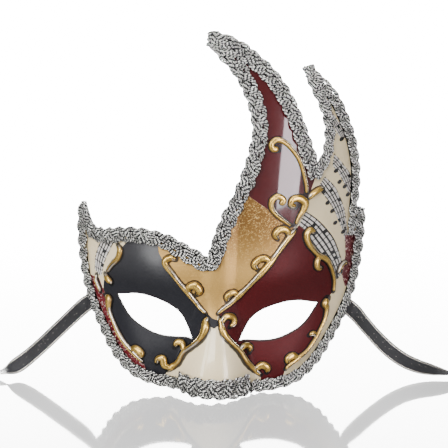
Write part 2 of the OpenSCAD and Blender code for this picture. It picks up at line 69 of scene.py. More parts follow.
# ---- The mask's sizes, as in the CAD model ----
MASK_W, MASK_H, MASK_D = 182, 219, 77
WALL = 1.5
LEAN = math.radians(2.3)
NOSE_OUT, NOSE_W = 18, 52
BRIDGE_OUT, BRIDGE_W = 3, 24
EYE_X, EYE_Z, EYE_W, EYE_H = 38, 44, 47, 24
SOCKET_DEPTH = 5
BRAID_W, SECOND_BRAID_W, NOSE_BRAID_W = 9.5, 7, 12.5
BRAID_T = 2.6
BRAID_OVERHANG = 1.8
SCALLOP_PITCH = 8.6
GLUE = 0.4
NOSE_X, FOOT_LIFT = -3.6, 1.35
RIBBON_W, RIBBON_T = 10, 0.6
ROLL_OUTER = 30

shell_low, shell_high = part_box("mask_shell")
MIDDLE = (shell_low + shell_high) / 2


# ---- Camera ----
def make_camera():
    """A long lens a metre away, eleven degrees above the level, almost square to the face."""
    distance, up, round_by = 1.0, math.radians(11), math.radians(1)
    aim = MIDDLE + Vector((2.7, -17, -5.7)) * MM
    back = Vector((math.sin(round_by) * math.cos(up), -math.cos(round_by) * math.cos(up), math.sin(up)))
    data = bpy.data.cameras.new("camera")
    data.sensor_width = 36
    data.lens = 133.9
    data.clip_end = 50
    camera = bpy.data.objects.new("camera", data)
    camera.location = aim + back * distance
    camera.rotation_euler = (-back).to_track_quat("-Z", "Y").to_euler()
    bpy.context.scene.collection.objects.link(camera)
    bpy.context.scene.camera = camera


make_camera()


# ---- Curves, vectors and meshes ----
def curve(points, cuts):
    """A smooth curve through the points, each stretch cut into equal steps."""
    p = np.array(points, float)
    p = np.vstack([2 * p[0] - p[1], p, 2 * p[-1] - p[-2]])
    t = (np.arange(cuts) / cuts)[:, None]
    out = []
    for a, b, c, d in zip(p[:-3], p[1:-2], p[2:-1], p[3:]):
        out.append(0.5 * (2 * b + (c - a) * t + (2 * a - 5 * b + 4 * c - d) * t ** 2
                          + (3 * b - a - 3 * c + d) * t ** 3))
    return np.vstack(out + [p[-2][None]])


def unit(v):
    return v / np.maximum(np.linalg.norm(v, axis=-1, keepdims=True), 1e-9)


def smooth(t):
    t = np.clip(t, 0, 1)
    return t * t * (3 - 2 * t)


def bell(t):
    return np.exp(-t * t)


def run_lengths(points):
    steps = np.linalg.norm(np.diff(points, axis=0), axis=1)
    return np.concatenate([[0], np.cumsum(steps)])


def resample(points, step):
    """The same line with points a step apart."""
    lengths = run_lengths(points)
    count = max(int(round(lengths[-1] / step)), 2)
    at = np.linspace(0, lengths[-1], count + 1)
    return np.stack([np.interp(at, lengths, points[:, i]) for i in range(points.shape[1])], 1)


def make_mesh(name, points, faces, attributes=None, normals=None):
    """A smooth mesh from points in millimetres, with its attributes on the points."""
    mesh = bpy.data.meshes.new(name)
    mesh.from_pydata((np.asarray(points) * MM).tolist(), [], faces)
    mesh.update()
    mesh.shade_smooth()
    for key, values in (attributes or {}).items():
        values = np.asarray(values, np.float32)
        if values.ndim == 1:
            mesh.attributes.new(key, "FLOAT", "POINT").data.foreach_set("value", values)
        else:
            mesh.attributes.new(key, "FLOAT_VECTOR", "POINT").data.foreach_set("vector", values.ravel())
    if normals is not None:
        mesh.normals_split_custom_set_from_vertices(normals.tolist())
    piece = bpy.data.objects.new(name, mesh)
    bpy.context.scene.collection.objects.link(piece)
    return piece


def tube_faces(rings, sides, closed=False, caps=True, first=0):
    """Quads between rings of equally many points, with end caps."""
    faces = []
    for i in range(rings if closed else rings - 1):
        for k in range(sides):
            a, b = i * sides + k, i * sides + (k + 1) % sides
            c, d = (i + 1) % rings * sides + (k + 1) % sides, (i + 1) % rings * sides + k
            faces.append((first + a, first + b, first + c, first + d))
    if caps and not closed:
        faces.append(tuple(first + k for k in reversed(range(sides))))
        faces.append(tuple(first + (rings - 1) * sides + k for k in range(sides)))
    return faces


# ---- The face surface ----
def nose_skin(x, z):
    u = smooth((62 - z) / 56)
    out = BRIDGE_OUT + (NOSE_OUT - BRIDGE_OUT) * u
    half = (BRIDGE_W + (NOSE_W - BRIDGE_W) * u) / 2
    q = np.minimum(np.abs(x) / half, 1)
    return out * (1 - q ** (2.2 + 0.8 * u)) ** 2


def skin(x, z):
    """Depth of the moulded front behind the front of the nose."""
    s = np.abs(x) / (MASK_W / 2)
    flatter = 1 - 0.22 * smooth((z - 90) / 120)
    wrap = (MASK_D - NOSE_OUT - 1) * (0.44 * s ** 2 + 0.56 * s ** 4) * flatter
    crown = 12 * np.maximum((z - 75) / 145, 0) ** 2
    ex = np.abs(x) - EYE_X
    ez = z - EYE_Z - 0.35 * ex
    socket = SOCKET_DEPTH * bell(ex / (EYE_W * 0.55)) * bell(ez / (EYE_H * 0.67))
    brow = 2.5 * bell((z - 68 - 0.12 * np.abs(x)) / 11) * bell((np.abs(x) - 32) / 30)
    cheek = 1.5 * bell((np.abs(x) - 42) / 18) * bell((z - 20) / 12)
    return NOSE_OUT + wrap + crown + socket - nose_skin(x, z) - brow - cheek


def skin_normal(x, z):
    step = 0.4
    dx = (skin(x + step, z) - skin(x - step, z)) / (2 * step)
    dz = (skin(x, z + step) - skin(x, z - step)) / (2 * step)
    return unit(np.stack([dx, -np.ones_like(dx), dz], -1))


def over_skin(x, z, height):
    """Points at a height over the front surface, in the face frame."""
    return np.stack([x, skin(x, z), z], -1) + skin_normal(x, z) * np.asarray(height)[..., None]


def behind_skin(x, z):
    return np.stack([x, skin(x, z) - WALL / skin_normal(x, z)[..., 1], z], -1)


def inside_skin(x, z, height):
    """Points at a height over the inner surface, in the face frame."""
    return behind_skin(x, z) - skin_normal(x, z) * np.asarray(height)[..., None]


def turned(v):
    """Directions from the face frame, leaned as the mask stands."""
    c, s = math.cos(LEAN), math.sin(LEAN)
    return np.stack([v[..., 0] * c + v[..., 2] * s, v[..., 1], -v[..., 0] * s + v[..., 2] * c], -1)


def stand(p):
    """Points from the face frame, put where the mask stands."""
    return turned(p) + np.array([NOSE_X, GLUE + BRAID_T - MASK_D / 2, FOOT_LIFT])


def flipped(points):
    return [[-p[0], p[1]] for p in points]


# ---- Outline of the shell ----
HORN_TIP = [-85.5, 105.5]
VALLEY = [-6.2, 82.4]
PLUME_TIP = [-12.5, 216.2]
SECOND_VALLEY = [56.4, 138]
SECOND_TIP = [45.8, 199.2]
TEMPLE_NOTCH = [81.9, 110]
TEMPLE_TIP = [87.5, 108.5]
NOSE_FOOT = [0, 1.8]
CHEEK_EDGE = [[12, 1.8], [24, 2.2], [34, 2.9], [44, 5], [53, 9.2], [61.7, 17.6], [69, 28.5], [75.5, 40]]
LEFT_EDGE = [HORN_TIP, [-88, 97], [-87.8, 86], [-86.4, 74], [-84.2, 62.5], [-80.8, 51.5],
             *flipped(CHEEK_EDGE)[::-1], NOSE_FOOT]
RIGHT_EDGE = [TEMPLE_TIP, [87.6, 97], [87.2, 86], [86, 74], [83.8, 62], [80.6, 51],
              *CHEEK_EDGE[::-1], NOSE_FOOT]
NOSE_EDGE = [[-20, 2], [-12, 1.8], NOSE_FOOT, [12, 1.8], [20, 2]]
BROW_EDGE = [HORN_TIP, [-82.6, 98], [-78.5, 91.8], [-71, 91.2], [-61, 94], [-50, 95.8], [-40, 95.4],
             [-31, 93.6], [-22.5, 89.6], [-14, 85.3], VALLEY]
PLUME_LEFT_EDGE = [VALLEY, [-3.4, 90.5], [-1, 100], [2.5, 110], [7.3, 119.8], [12, 131], [16, 144.5],
                   [18.2, 158.5], [16.4, 171.5], [11.4, 184], [3, 196.5], [-6.6, 206.8], PLUME_TIP]
PLUME_RIGHT_EDGE = [PLUME_TIP, [0, 214.3], [15.5, 205.3], [28, 194.5], [38, 181], [45, 167],
                    [50.5, 153], SECOND_VALLEY]
SECOND_INNER_EDGE = [SECOND_VALLEY, [60, 145.2], [61.4, 155], [60.3, 166], [56.6, 176.5],
                     [51.2, 186.5], SECOND_TIP]
SECOND_OUTER_EDGE = [SECOND_TIP, [54.2, 192.6], [61.3, 186], [67.4, 177.5], [72.6, 167],
                     [77, 156], [80, 145], [81.9, 133], [82.2, 121], TEMPLE_NOTCH]
OUTLINE_CUTS = 8


def outline():
    loops = [LEFT_EDGE[::-1], BROW_EDGE, PLUME_LEFT_EDGE, PLUME_RIGHT_EDGE, SECOND_INNER_EDGE,
             SECOND_OUTER_EDGE, [TEMPLE_NOTCH, TEMPLE_TIP], RIGHT_EDGE]
    return np.vstack([curve(e, OUTLINE_CUTS)[:-1] for e in loops])


UPPER_LID = [[-1, -0.97], [-0.7, 0.15], [-0.25, 0.7], [0.38, 0.95], [1, 0.74]]
LOWER_LID = [[1, 0.74], [0.65, -0.25], [0.17, -0.8], [-0.3, -1.02], [-1, -0.97]]


def eye_outline(side):
    loop = np.vstack([curve(UPPER_LID, 12)[:-1], curve(LOWER_LID, 12)[:-1]])
    return np.stack([side * (EYE_X + loop[:, 0] * EYE_W / 2), EYE_Z + loop[:, 1] * EYE_H / 2], 1)


# ---- The scrolls: points x, z and half width. A scroll's first stroke is its stem. ----
SCROLLS = {
    "relief_nose_left_upper": [
        [[-25.6, 80.6, 1.2], [-28.8, 81.2, 1.9], [-32, 79.2, 2.1], [-31.6, 76.4, 1.8],
         [-27.5, 71.8, 1.5], [-23, 66.4, 1.4], [-18.6, 61.6, 1.7], [-14.8, 57, 1.4], [-10, 51.8, 1.3],
         [-6.4, 49, 0.9]],
        [[-17.6, 60.4, 1.4], [-17.2, 64.4, 2], [-13.6, 65.6, 2.6], [-10.6, 62.4, 2.4], [-12.2, 59.6, 1.2]]],
    "relief_nose_left_lower": [
        [[-5, 47, 0.8], [-6.2, 44, 2], [-6, 40.4, 2.6], [-8.2, 35, 2], [-13, 29.2, 1.4],
         [-18.6, 23.6, 1.7], [-22, 17, 1.8], [-26.2, 13, 1.9], [-28.6, 10.8, 1]],
        [[-18.6, 23.6, 1.4], [-19.6, 27.6, 2.2], [-23, 28.4, 2], [-24.8, 25.4, 1.3]],
        [[-26.6, 12.6, 1.4], [-30.4, 14, 2.1], [-31.6, 18, 2.2], [-34.8, 17.4, 1.6], [-35.4, 14.4, 1]]],
    "relief_nose_right_lower": [
        [[2.4, 47, 0.9], [3, 43.4, 1.5], [4.6, 38.4, 1.9], [8.8, 33.2, 1.5], [14.6, 26.8, 1.5],
         [19.4, 19.4, 1.6], [24.6, 13.6, 1.6], [28.4, 10.6, 1]],
        [[3, 44, 1.2], [5.4, 47.6, 1.8], [9.4, 47, 2], [10.4, 43.6, 1.8], [8.4, 41.4, 1]],
        [[14.6, 26.8, 1.2], [17.6, 28.8, 1.9], [21, 27.6, 1.9], [21, 24.6, 1.1]],
        [[24.6, 13.6, 1.2], [28.4, 16.6, 2.1], [32, 15.4, 2.1], [32, 12, 1.2]]],
    "relief_forehead": [
        [[0.6, 49.4, 0.8], [3.4, 52, 1.2], [8.4, 56, 1.5], [12.8, 60.2, 1.8], [17, 64.6, 1.3],
         [21.6, 69.8, 1.3], [26.4, 75.2, 1.8], [31, 80.8, 1.9], [34.6, 85.8, 1.4], [38.4, 91.4, 1.6],
         [42.6, 97.2, 1.7], [45.4, 100.4, 0.9]],
        [[12.8, 60.2, 1.4], [9.6, 62.4, 1.8], [5.8, 60.4, 1.7], [5.8, 56.8, 1.1]],
        [[30.6, 80.4, 1.4], [28.4, 83.2, 2], [24, 82.6, 2], [21.4, 79.4, 1.8], [23.4, 76.6, 1]],
        [[42, 96.4, 1.4], [39.6, 100.6, 2], [35.4, 100.8, 2], [33, 97.8, 1.8], [35, 94.8, 1]]],
    "relief_plume_curl": [
        [[35.4, 115.6, 1.7], [37.2, 118.8, 1.9], [33.8, 121, 1.8], [30.4, 118.6, 1.8],
         [30.4, 113.8, 1.6], [33.8, 109.6, 1.4], [38.6, 105.8, 1.2], [42.6, 103, 0.9]]],
    "relief_plume_hook": [
        [[45, 114.6, 1.4], [41.8, 115.8, 1.7], [42.6, 119, 2], [46.6, 119.6, 2.3], [50.2, 116.8, 2.4],
         [49.4, 112.4, 1.8], [47, 107.8, 1.3], [45.4, 103.8, 0.9]]],
    "relief_plume_arc": [
        [[33, 149.4, 1.7], [29.4, 149.6, 1.9], [28.6, 152.8, 1.8], [31.8, 155, 1.8], [36.6, 153.4, 1.6],
         [41, 149.4, 1.4], [45.4, 143.4, 1.3], [48.4, 135.8, 1.2], [50.6, 127.2, 1.1], [51, 122.6, 0.9]]],
    "relief_plume_leaf": [
        [[52.4, 119.2, 1], [55, 122.2, 1.9], [59.2, 124.6, 1.7], [61.4, 124.4, 0.8]]],
    "relief_temple_right": [
        [[57.2, 97.8, 1.4], [54.2, 99.8, 1.9], [52.2, 96.8, 2], [53.8, 91.4, 1.8], [57.6, 86.6, 1.5],
         [60.8, 83.4, 1.6], [64.6, 81, 1.8], [67.6, 77.4, 1.5], [70, 71.6, 1.3], [71.4, 65.6, 1.1],
         [71.4, 58.6, 1]],
        [[61.2, 83.2, 1.4], [59.4, 79.8, 1.8], [60, 76, 1.7], [62.8, 75.4, 1.1]]],
    "relief_cheek_right": [
        [[67.8, 54.6, 2], [66, 51.6, 2.2], [67.4, 48.4, 1.6], [66.8, 42.6, 1.2], [64, 36, 1.2],
         [60.6, 29.8, 1.4], [56, 23.8, 1.2], [50.6, 19.8, 1.6], [46.2, 16.6, 1.4], [43.4, 13.6, 0.9]],
        [[61.6, 31.4, 1.1], [59.8, 34.2, 1.5], [57.2, 33.2, 1]],
        [[50.6, 19.8, 1.4], [47.6, 22, 2], [44.4, 20.4, 1.9], [44.2, 17.2, 1]]],
    "relief_twig_right": [
        [[73.6, 69.8, 0.9], [75, 73.6, 1.3], [77.4, 75.8, 1.3], [79.2, 74.6, 0.8]]],
    "relief_temple_left": [
        [[-62.2, 84.2, 1], [-60.4, 81.2, 1.9], [-61.6, 76.2, 1.8], [-65.6, 71, 1.4], [-68.4, 66.2, 1.1]],
        [[-70.2, 64, 0.9], [-68.6, 61.8, 1.9], [-66.4, 59.8, 1.8], [-66, 58.2, 0.9]]],
    "relief_cheek_left": [
        [[-69.6, 50.2, 1.3], [-67, 48.8, 2.2], [-67, 45, 2], [-66.4, 41, 1.3], [-63.2, 34.6, 1.2],
         [-60.2, 29.2, 1.6], [-56.2, 24.2, 1.5], [-51.6, 20.2, 1.5], [-47.4, 16.8, 1.2], [-44, 14.2, 0.8]],
        [[-51.6, 20.2, 1.4], [-48.8, 21.8, 2.3], [-45, 19.6, 2.3], [-45.6, 16.8, 1.2]]],
    "relief_twig_left": [
        [[-76.2, 61.6, 0.8], [-76, 57.6, 1.3], [-74, 54, 1.2], [-73.2, 51.4, 0.8]]],
}


# ---- Where the paint goes ----
def stem(scroll, first=0, last=None):
    """Part of the line of a scroll's stem."""
    return curve(SCROLLS["relief_" + scroll][0], 4)[first * 4:None if last is None else last * 4 + 1, :2]


def ring(*stretches):
    return np.vstack([np.array(s, float) for s in stretches])


GOLD_TOP = [[3, 130.5], [17, 120.5], [30.4, 111.5], [44.5, 101.5]]
PANELS = {
    "paint_sparkle": [
        ring([[-95, 60], [-74.5, 60], [-70.5, 52]], stem("cheek_left", 2), [[-42, 10], [-40, -5], [-95, -5]]),
        ring([[77.2, 93], [95, 93], [95, 60], [79, 60], [76.6, 68], [78.2, 80]])],
    "paint_gold": [
        ring(stem("nose_left_upper", 3)[::-1],
             [[-33.1, 78], [-36.7, 84.1], [-38, 98], [-20, 99], [-8, 96], [-8, 110]],
             GOLD_TOP, stem("forehead")[::-1], [[1, 45.8], [-2, 46.4]])],
    "paint_black": [
        ring(stem("nose_left_upper", 3), stem("nose_left_lower"), [[-31, 5], [-34, -5], [-44, 4]],
             stem("cheek_left")[::-1], [[-71.5, 54], [-71, 60]], stem("temple_left")[::-1],
             [[-59.5, 83.5], [-57, 87], [-54, 98], [-39, 98], [-37.6, 90], [-36.2, 83.4], [-33.1, 78]]),
        ring([[-5.8, 49.4], [-2, 46.4], [1, 45.8], [2.8, 43.4], [-1.2, 40.6], [-5.6, 43]])],
    "paint_red": [
        ring(stem("forehead"), [[47.4, 103.2], [51, 100]], stem("temple_right", 2), [[69, 56]],
             stem("cheek_right", 1), [[41, 6], [36, -5], [30, -5]], stem("nose_right_lower")[::-1]),
        ring(GOLD_TOP, stem("plume_hook", 4)[::-1], [[52.4, 119.2], [55, 128], [57.6, 136], [58, 146],
             [50, 168], [40, 190], [16, 212], [-14, 226], [-26, 214], [-2, 190], [6, 160], [-2, 134]])],
}
# Each stave lies between an upper and a lower line.
STAVES = [
    ([[51.4, 111], [58.2, 106], [64.5, 99.4], [70.4, 91], [75.3, 78.4], [76.9, 69.7]],
     [[47.6, 103], [52, 98.9], [56, 92.6], [63, 83.3], [68.8, 75.7], [73.5, 66]]),
    ([[62.2, 131.6], [68.5, 125], [72.3, 118], [75.6, 110], [77.4, 101.8], [78.9, 92.8]],
     [[59, 126.7], [61.3, 121.9], [65, 117], [68.6, 111.3], [71.7, 105], [75.7, 95.5], [77.5, 88.5]]),
    ([[67.4, 145.3], [72.4, 139.5], [77.7, 132.2], [80.3, 124.5]],
     [[66.8, 138.3], [70.8, 133.2], [75.3, 125.4], [78.6, 118.2]]),
    ([[64.8, 170.5], [70.5, 162.4], [74.3, 155]], [[63.6, 166.7], [67.3, 160], [71.6, 154]]),
    ([[-65.1, 86], [-70.8, 72], [-73.2, 61.2]], [[-73.7, 84], [-77, 74], [-77.6, 64.5]]),
]
NOTES = [[61.9, 122.6], [64.7, 115.4], [68, 110], [70.3, 102.2], [75.8, 95.5], [69, 134.8],
         [71.7, 127.6], [75.3, 124.2], [77.6, 118.7], [71.5, 154]]
NOTE_SIZE = [1.6, 1.3]
NOTE_TILT = math.radians(35)


def note_points():
    """Extra mesh points round each note head, so that it keeps its shape."""
    turns = np.linspace(0, 2 * math.pi, 12, endpoint=False)
    rings = [np.stack([np.cos(turns), np.sin(turns)], 1) * r for r in (0.7, 1.3, 1.9, 2.5)]
    return np.vstack([np.array(note) + r for note in NOTES for r in [np.zeros((1, 2)), *rings]])


def line_distance(points, line):
    """Distance to a line, and how far along it the nearest point lies."""
    best = np.full(len(points), 1e9)
    along = np.zeros(len(points))
    lengths = run_lengths(line)
    for a, b, start in zip(line[:-1], line[1:], lengths):
        step = b - a
        size = max(step @ step, 1e-12)
        t = np.clip((points - a) @ step / size, 0, 1)
        far = np.linalg.norm(points - a - t[:, None] * step, axis=1)
        nearer = far < best
        best[nearer] = far[nearer]
        along[nearer] = start + t[nearer] * math.sqrt(size)
    return best, along


def inside(points, loop):
    """True for the points inside a closed outline."""
    result = np.zeros(len(points), bool)
    for a, b in zip(loop, np.roll(loop, -1, 0)):
        crossing = (a[1] > points[:, 1]) != (b[1] > points[:, 1])
        slope = (b[0] - a[0]) / (b[1] - a[1] if b[1] != a[1] else 1e-12)
        result ^= crossing & (points[:, 0] < a[0] + (points[:, 1] - a[1]) * slope)
    return result


def loop_distance(points, loop):
    """Distance to a closed outline, negative inside it."""
    far, _ = line_distance(points, np.vstack([loop, loop[:1]]))
    return np.where(inside(points, loop), -far, far)


def scroll_distance(points):
    """Distance to the foot of the nearest scroll, negative under it."""
    best = np.full(len(points), 99.0)
    for strokes in SCROLLS.values():
        for s in strokes:
            line = curve(s, 4)
            for a, b in zip(line[:-1], line[1:]):
                step = b[:2] - a[:2]
                t = np.clip((points - a[:2]) @ step / max(step @ step, 1e-12), 0, 1)
                gap = np.linalg.norm(points - a[:2] - t[:, None] * step, axis=1) - (a[2] + t * (b[2] - a[2]))
                best = np.minimum(best, gap)
    return best


def paint_attributes(points):
    """Distances that tell the paint where each colour and line lies."""
    values = {name: np.min([loop_distance(points, loop) for loop in loops], 0)
              for name, loops in PANELS.items()}
    for i, (upper, lower) in enumerate(STAVES):
        upper, lower = curve(upper, 6), curve(lower, 6)
        to_upper, along = line_distance(points, upper)
        to_lower, _ = line_distance(points, lower)
        edge = loop_distance(points, np.vstack([upper, lower[::-1]]))
        across = to_upper / np.maximum(to_upper + to_lower, 1e-6)
        values[f"stave_{i}"] = np.stack([across, along, edge], 1)
    note = np.full(len(points), 99.0)
    c, s = math.cos(NOTE_TILT), math.sin(NOTE_TILT)
    for x, z in NOTES:
        u, v = points[:, 0] - x, points[:, 1] - z
        note = np.minimum(note, np.hypot((u * c + v * s) / NOTE_SIZE[0], (v * c - u * s) / NOTE_SIZE[1]) - 1)
    values["note"] = note
    values["scroll"] = scroll_distance(points)
    values["eye"] = np.min([loop_distance(points, eye_outline(side)) for side in (-1, 1)], 0)
    steep = -skin_normal(points[:, 0], points[:, 1])[:, 1]
    values["rim"] = -loop_distance(points, outline()) / steep
    return values


# ---- The shell ----
GRID = 1.0
RIM_STEPS = 6
RIM_SWELL = 0.3


def face_triangles():
    """Triangles over the face between its outline and the eyes, in x and z."""
    eyes = [eye_outline(side) for side in (-1, 1)]
    eyes = [spread(e, WALL / 2) for e in eyes]
    loops = [outline(), *eyes]
    low, high = loops[0].min(0), loops[0].max(0)
    xs, zs = np.arange(low[0], high[0], GRID), np.arange(low[1], high[1], GRID * 0.87)
    grid = np.array([[x + (j % 2) * GRID / 2, z] for j, z in enumerate(zs) for x in xs])
    near = np.min([line_distance(grid, np.vstack([l, l[:1]]))[0] for l in loops], 0)
    keep = inside(grid, loops[0]) & ~inside(grid, loops[1]) & ~inside(grid, loops[2]) & (near > GRID * 0.55)
    points, edges = [], []
    for loop in loops:
        first = len(points)
        points += loop.tolist()
        edges += [(first + i, first + (i + 1) % len(loop)) for i in range(len(loop))]
    marks = note_points()
    for x, z in NOTES:
        keep &= np.hypot(grid[:, 0] - x, grid[:, 1] - z) > 2.9
    points += grid[keep].tolist() + marks.tolist()
    found = delaunay_2d_cdt([Vector(p) for p in points], edges, [], 0, 1e-5)
    flat = np.array([v[:] for v in found[0]])
    faces = np.array([f for f in found[2] if len(f) == 3])
    middle = flat[faces].mean(1)
    wanted = inside(middle, loops[0]) & ~inside(middle, loops[1]) & ~inside(middle, loops[2])
    faces = faces[wanted]
    a, b, c = (flat[faces[:, i]] for i in range(3))
    area = (b[:, 0] - a[:, 0]) * (c[:, 1] - a[:, 1]) - (b[:, 1] - a[:, 1]) * (c[:, 0] - a[:, 0])
    faces = np.where((area > 0)[:, None], faces, faces[:, ::-1])
    used, faces = np.unique(faces, return_inverse=True)
    return flat[used], faces.reshape(-1, 3)


def loop_outward(loop):
    """Unit vectors away from a loop's inside, on each of its points."""
    ahead = unit(np.roll(loop, -1, 0) - loop)
    behind = np.roll(ahead, 1, 0)
    along = unit(ahead + behind)
    out = np.stack([along[:, 1], -along[:, 0]], 1)
    area = np.sum(loop[:, 0] * np.roll(loop[:, 1], -1) - loop[:, 1] * np.roll(loop[:, 0], -1))
    return out if area > 0 else -out


def spread(loop, by):
    return loop + loop_outward(loop) * by


def boundary_loops(faces):
    """Closed runs of edges that only one triangle uses, in its direction."""
    pairs = {(f[i], f[(i + 1) % 3]) for f in faces.tolist() for i in range(3)}
    after = {a: b for a, b in pairs if (b, a) not in pairs}
    loops = []
    while after:
        start, at = after.popitem()
        loop = [start]
        while at != start:
            loop.append(at)
            at = after.pop(at)
        loops.append(loop)
    return loops


def outward_of_face(edge):
    """Unit vectors out of the face, for a loop with the face on its left."""
    along = unit(np.roll(edge, -1, 0) - np.roll(edge, 1, 0))
    return np.stack([along[:, 1], -along[:, 0]], 1)


def rim_rows(edge):
    """Rows of points round the rim, from the front to the back: place, point and normal."""
    away = outward_of_face(edge)
    is_eye = np.abs(np.abs(edge[:, 0]).mean() - EYE_X) < EYE_W / 2 and np.ptp(edge[:, 1]) < 2 * EYE_H
    reach = WALL / 2 if is_eye else RIM_SWELL
    for k in range(1, RIM_STEPS):
        turn = math.pi * k / RIM_STEPS
        p = edge + away * reach * math.sin(turn)
        share = (1 - math.cos(turn)) / 2
        front = over_skin(p[:, 0], p[:, 1], np.zeros(len(p)))
        middle = front * (1 - share) + behind_skin(p[:, 0], p[:, 1]) * share
        n = skin_normal(p[:, 0], p[:, 1])
        out = np.stack([away[:, 0], np.zeros(len(p)), away[:, 1]], 1)
        out = unit(out - n * np.sum(out * n, 1, keepdims=True))
        yield p, middle, unit(n * math.cos(turn) + out * math.sin(turn))


def make_shell():
    flat, faces = face_triangles()
    count = len(flat)
    normal = skin_normal(flat[:, 0], flat[:, 1])
    points = [over_skin(flat[:, 0], flat[:, 1], np.zeros(count)), behind_skin(flat[:, 0], flat[:, 1])]
    normals = [normal, -normal]
    rims = []
    quads = []
    total = 2 * count
    for loop in boundary_loops(faces):
        rows = [list(loop)]
        for place, middle, out in rim_rows(flat[loop]):
            rims.append(place)
            points.append(middle)
            normals.append(out)
            rows.append(list(range(total, total + len(place))))
            total += len(place)
        rows.append([count + i for i in loop])
        for upper, lower in zip(rows[:-1], rows[1:]):
            for i in range(len(loop)):
                j = (i + 1) % len(loop)
                quads.append((upper[j], upper[i], lower[i], lower[j]))
    front = [tuple(f) for f in faces.tolist()]
    back = [tuple(count + i for i in f[::-1]) for f in faces.tolist()]
    places = np.vstack([flat, *rims])
    values = {key: np.concatenate([v[:count], v[:count], v[count:]])
              for key, v in paint_attributes(places).items()}
    piece = make_mesh("mask_shell_painted", stand(np.vstack(points)), front + back + quads, values,
                      turned(np.vstack(normals)))
    piece.data.materials.append(shell_paint())
    piece.data.materials.append(bare_inside())
    inner = np.zeros(len(piece.data.polygons), np.int32)
    inner[len(front):len(front) + len(back)] = 1
    piece.data.polygons.foreach_set("material_index", inner)
    finish_piece(piece, "painted_shell", "mask_shell")


# ---- Materials ----
class Paint:
    """Short calls for the nodes of one material or shader group."""

    def __init__(self, tree):
        self.tree = tree

    def put(self, target, value):
        """Links a socket, or sets a plain value on it."""
        if isinstance(value, bpy.types.NodeSocket):
            self.tree.links.new(value, target)
        elif value is not None:
            if target.type == "RGBA" and len(value) == 3:
                value = (*value, 1)
            target.default_value = value

    def node(self, kind, inputs=None, **settings):
        node = self.tree.nodes.new(kind)
        for key, value in settings.items():
            setattr(node, key, value)
        for key, value in (inputs or {}).items():
            self.put(node.inputs[key], value)
        return node

    def math(self, operation, a, b=None, c=None, clamp=False):
        values = {i: v for i, v in enumerate((a, b, c)) if v is not None}
        return self.node("ShaderNodeMath", values, operation=operation, use_clamp=clamp).outputs[0]

    def mix(self, share, a, b, blend="MIX"):
        node = self.node("ShaderNodeMix", data_type="RGBA", blend_type=blend)
        for socket, value in ((node.inputs[0], share), (node.inputs[6], a), (node.inputs[7], b)):
            self.put(socket, value)
        return node.outputs[2]

    def blend(self, share, a, b):
        """A number between a and b."""
        node = self.node("ShaderNodeMix", data_type="FLOAT")
        for socket, value in ((node.inputs[0], share), (node.inputs[2], a), (node.inputs[3], b)):
            self.put(socket, value)
        return node.outputs[0]

    def ramp(self, value, low, high, to_low=0.0, to_high=1.0):
        values = {0: value, 1: low, 2: high, 3: to_low, 4: to_high}
        return self.node("ShaderNodeMapRange", values, interpolation_type="SMOOTHSTEP").outputs[0]

    def noise(self, where, scale, detail=3.0, rough=0.55):
        values = {"Vector": where, "Scale": scale, "Detail": detail, "Roughness": rough}
        return self.node("ShaderNodeTexNoise", values).outputs[0]

    def cells(self, where, scale, feature="F1"):
        return self.node("ShaderNodeTexVoronoi", {"Vector": where, "Scale": scale}, feature=feature)

    def named(self, name):
        return self.node("ShaderNodeAttribute", attribute_name=name)

    def number(self, name):
        return self.named(name).outputs["Fac"]

    def three(self, name):
        return self.node("ShaderNodeSeparateXYZ", {0: self.named(name).outputs["Vector"]}).outputs

    def place(self):
        return self.node("ShaderNodeTexCoord").outputs["Object"]

    def bump(self, height, strength, distance, under=None):
        values = {"Height": height, "Strength": strength, "Distance": distance, "Normal": under}
        return self.node("ShaderNodeBump", values).outputs[0]

    def group(self, group, inputs):
        node = self.node("ShaderNodeGroup", node_tree=group)
        for key, value in inputs.items():
            self.put(node.inputs[key], value)
        return node.outputs


def new_material(name, settings):
    """A material with its Principled shader, and the Paint to fill it in."""
    material = bpy.data.materials.new(name)
    material.use_nodes = True
    paint = Paint(material.node_tree)
    shader = material.node_tree.nodes["Principled BSDF"]
    for key, value in settings.items():
        paint.put(shader.inputs[key], value)
    return material, paint, shader


def new_group(name, inputs, outputs):
    tree = bpy.data.node_groups.new(name, "ShaderNodeTree")
    for key, kind, value in inputs:
        socket = tree.interface.new_socket(key, in_out="INPUT", socket_type="NodeSocket" + kind)
        if value is not None:
            socket.default_value = value
    for key, kind in outputs:
        tree.interface.new_socket(key, in_out="OUTPUT", socket_type="NodeSocket" + kind)
    paint = Paint(tree)
    return tree, paint, paint.node("NodeGroupInput").outputs, paint.node("NodeGroupOutput").inputs


def brushed_edge_group():
    """One inside a painted shape, from its signed distance, with a hand's wobble along the edge."""
    tree, p, given, out = new_group(
        "brushed_edge",
        [("Distance", "Float", 0.0), ("Place", "Vector", None), ("Wobble", "Float", 0.3),
         ("Softness", "Float", 0.1)],
        [("Mask", "Float")])
    noise = p.noise(given["Place"], 260.0, 2.0)
    moved = p.math("MULTIPLY_ADD", p.math("SUBTRACT", noise, 0.5), given["Wobble"], given["Distance"])
    low = p.math("MULTIPLY", given["Softness"], -1.0)
    p.put(out["Mask"], p.ramp(moved, low, given["Softness"], 1.0, 0.0))
    return tree


def marks_group():
    """Uneven tone and a little dirt: a mask of rubbed spots and a fine grain."""
    tree, p, given, out = new_group(
        "handling_marks",
        [("Place", "Vector", None), ("Scale", "Float", 40.0), ("Amount", "Float", 0.5)],
        [("Marks", "Float"), ("Grain", "Float")])
    broad = p.noise(given["Place"], given["Scale"], 4.0, 0.6)
    fine = p.noise(given["Place"], p.math("MULTIPLY", given["Scale"], 14.0), 2.0, 0.5)
    p.put(out["Marks"], p.math("MULTIPLY", p.ramp(broad, 0.42, 0.72), given["Amount"]))
    p.put(out["Grain"], fine)
    return tree


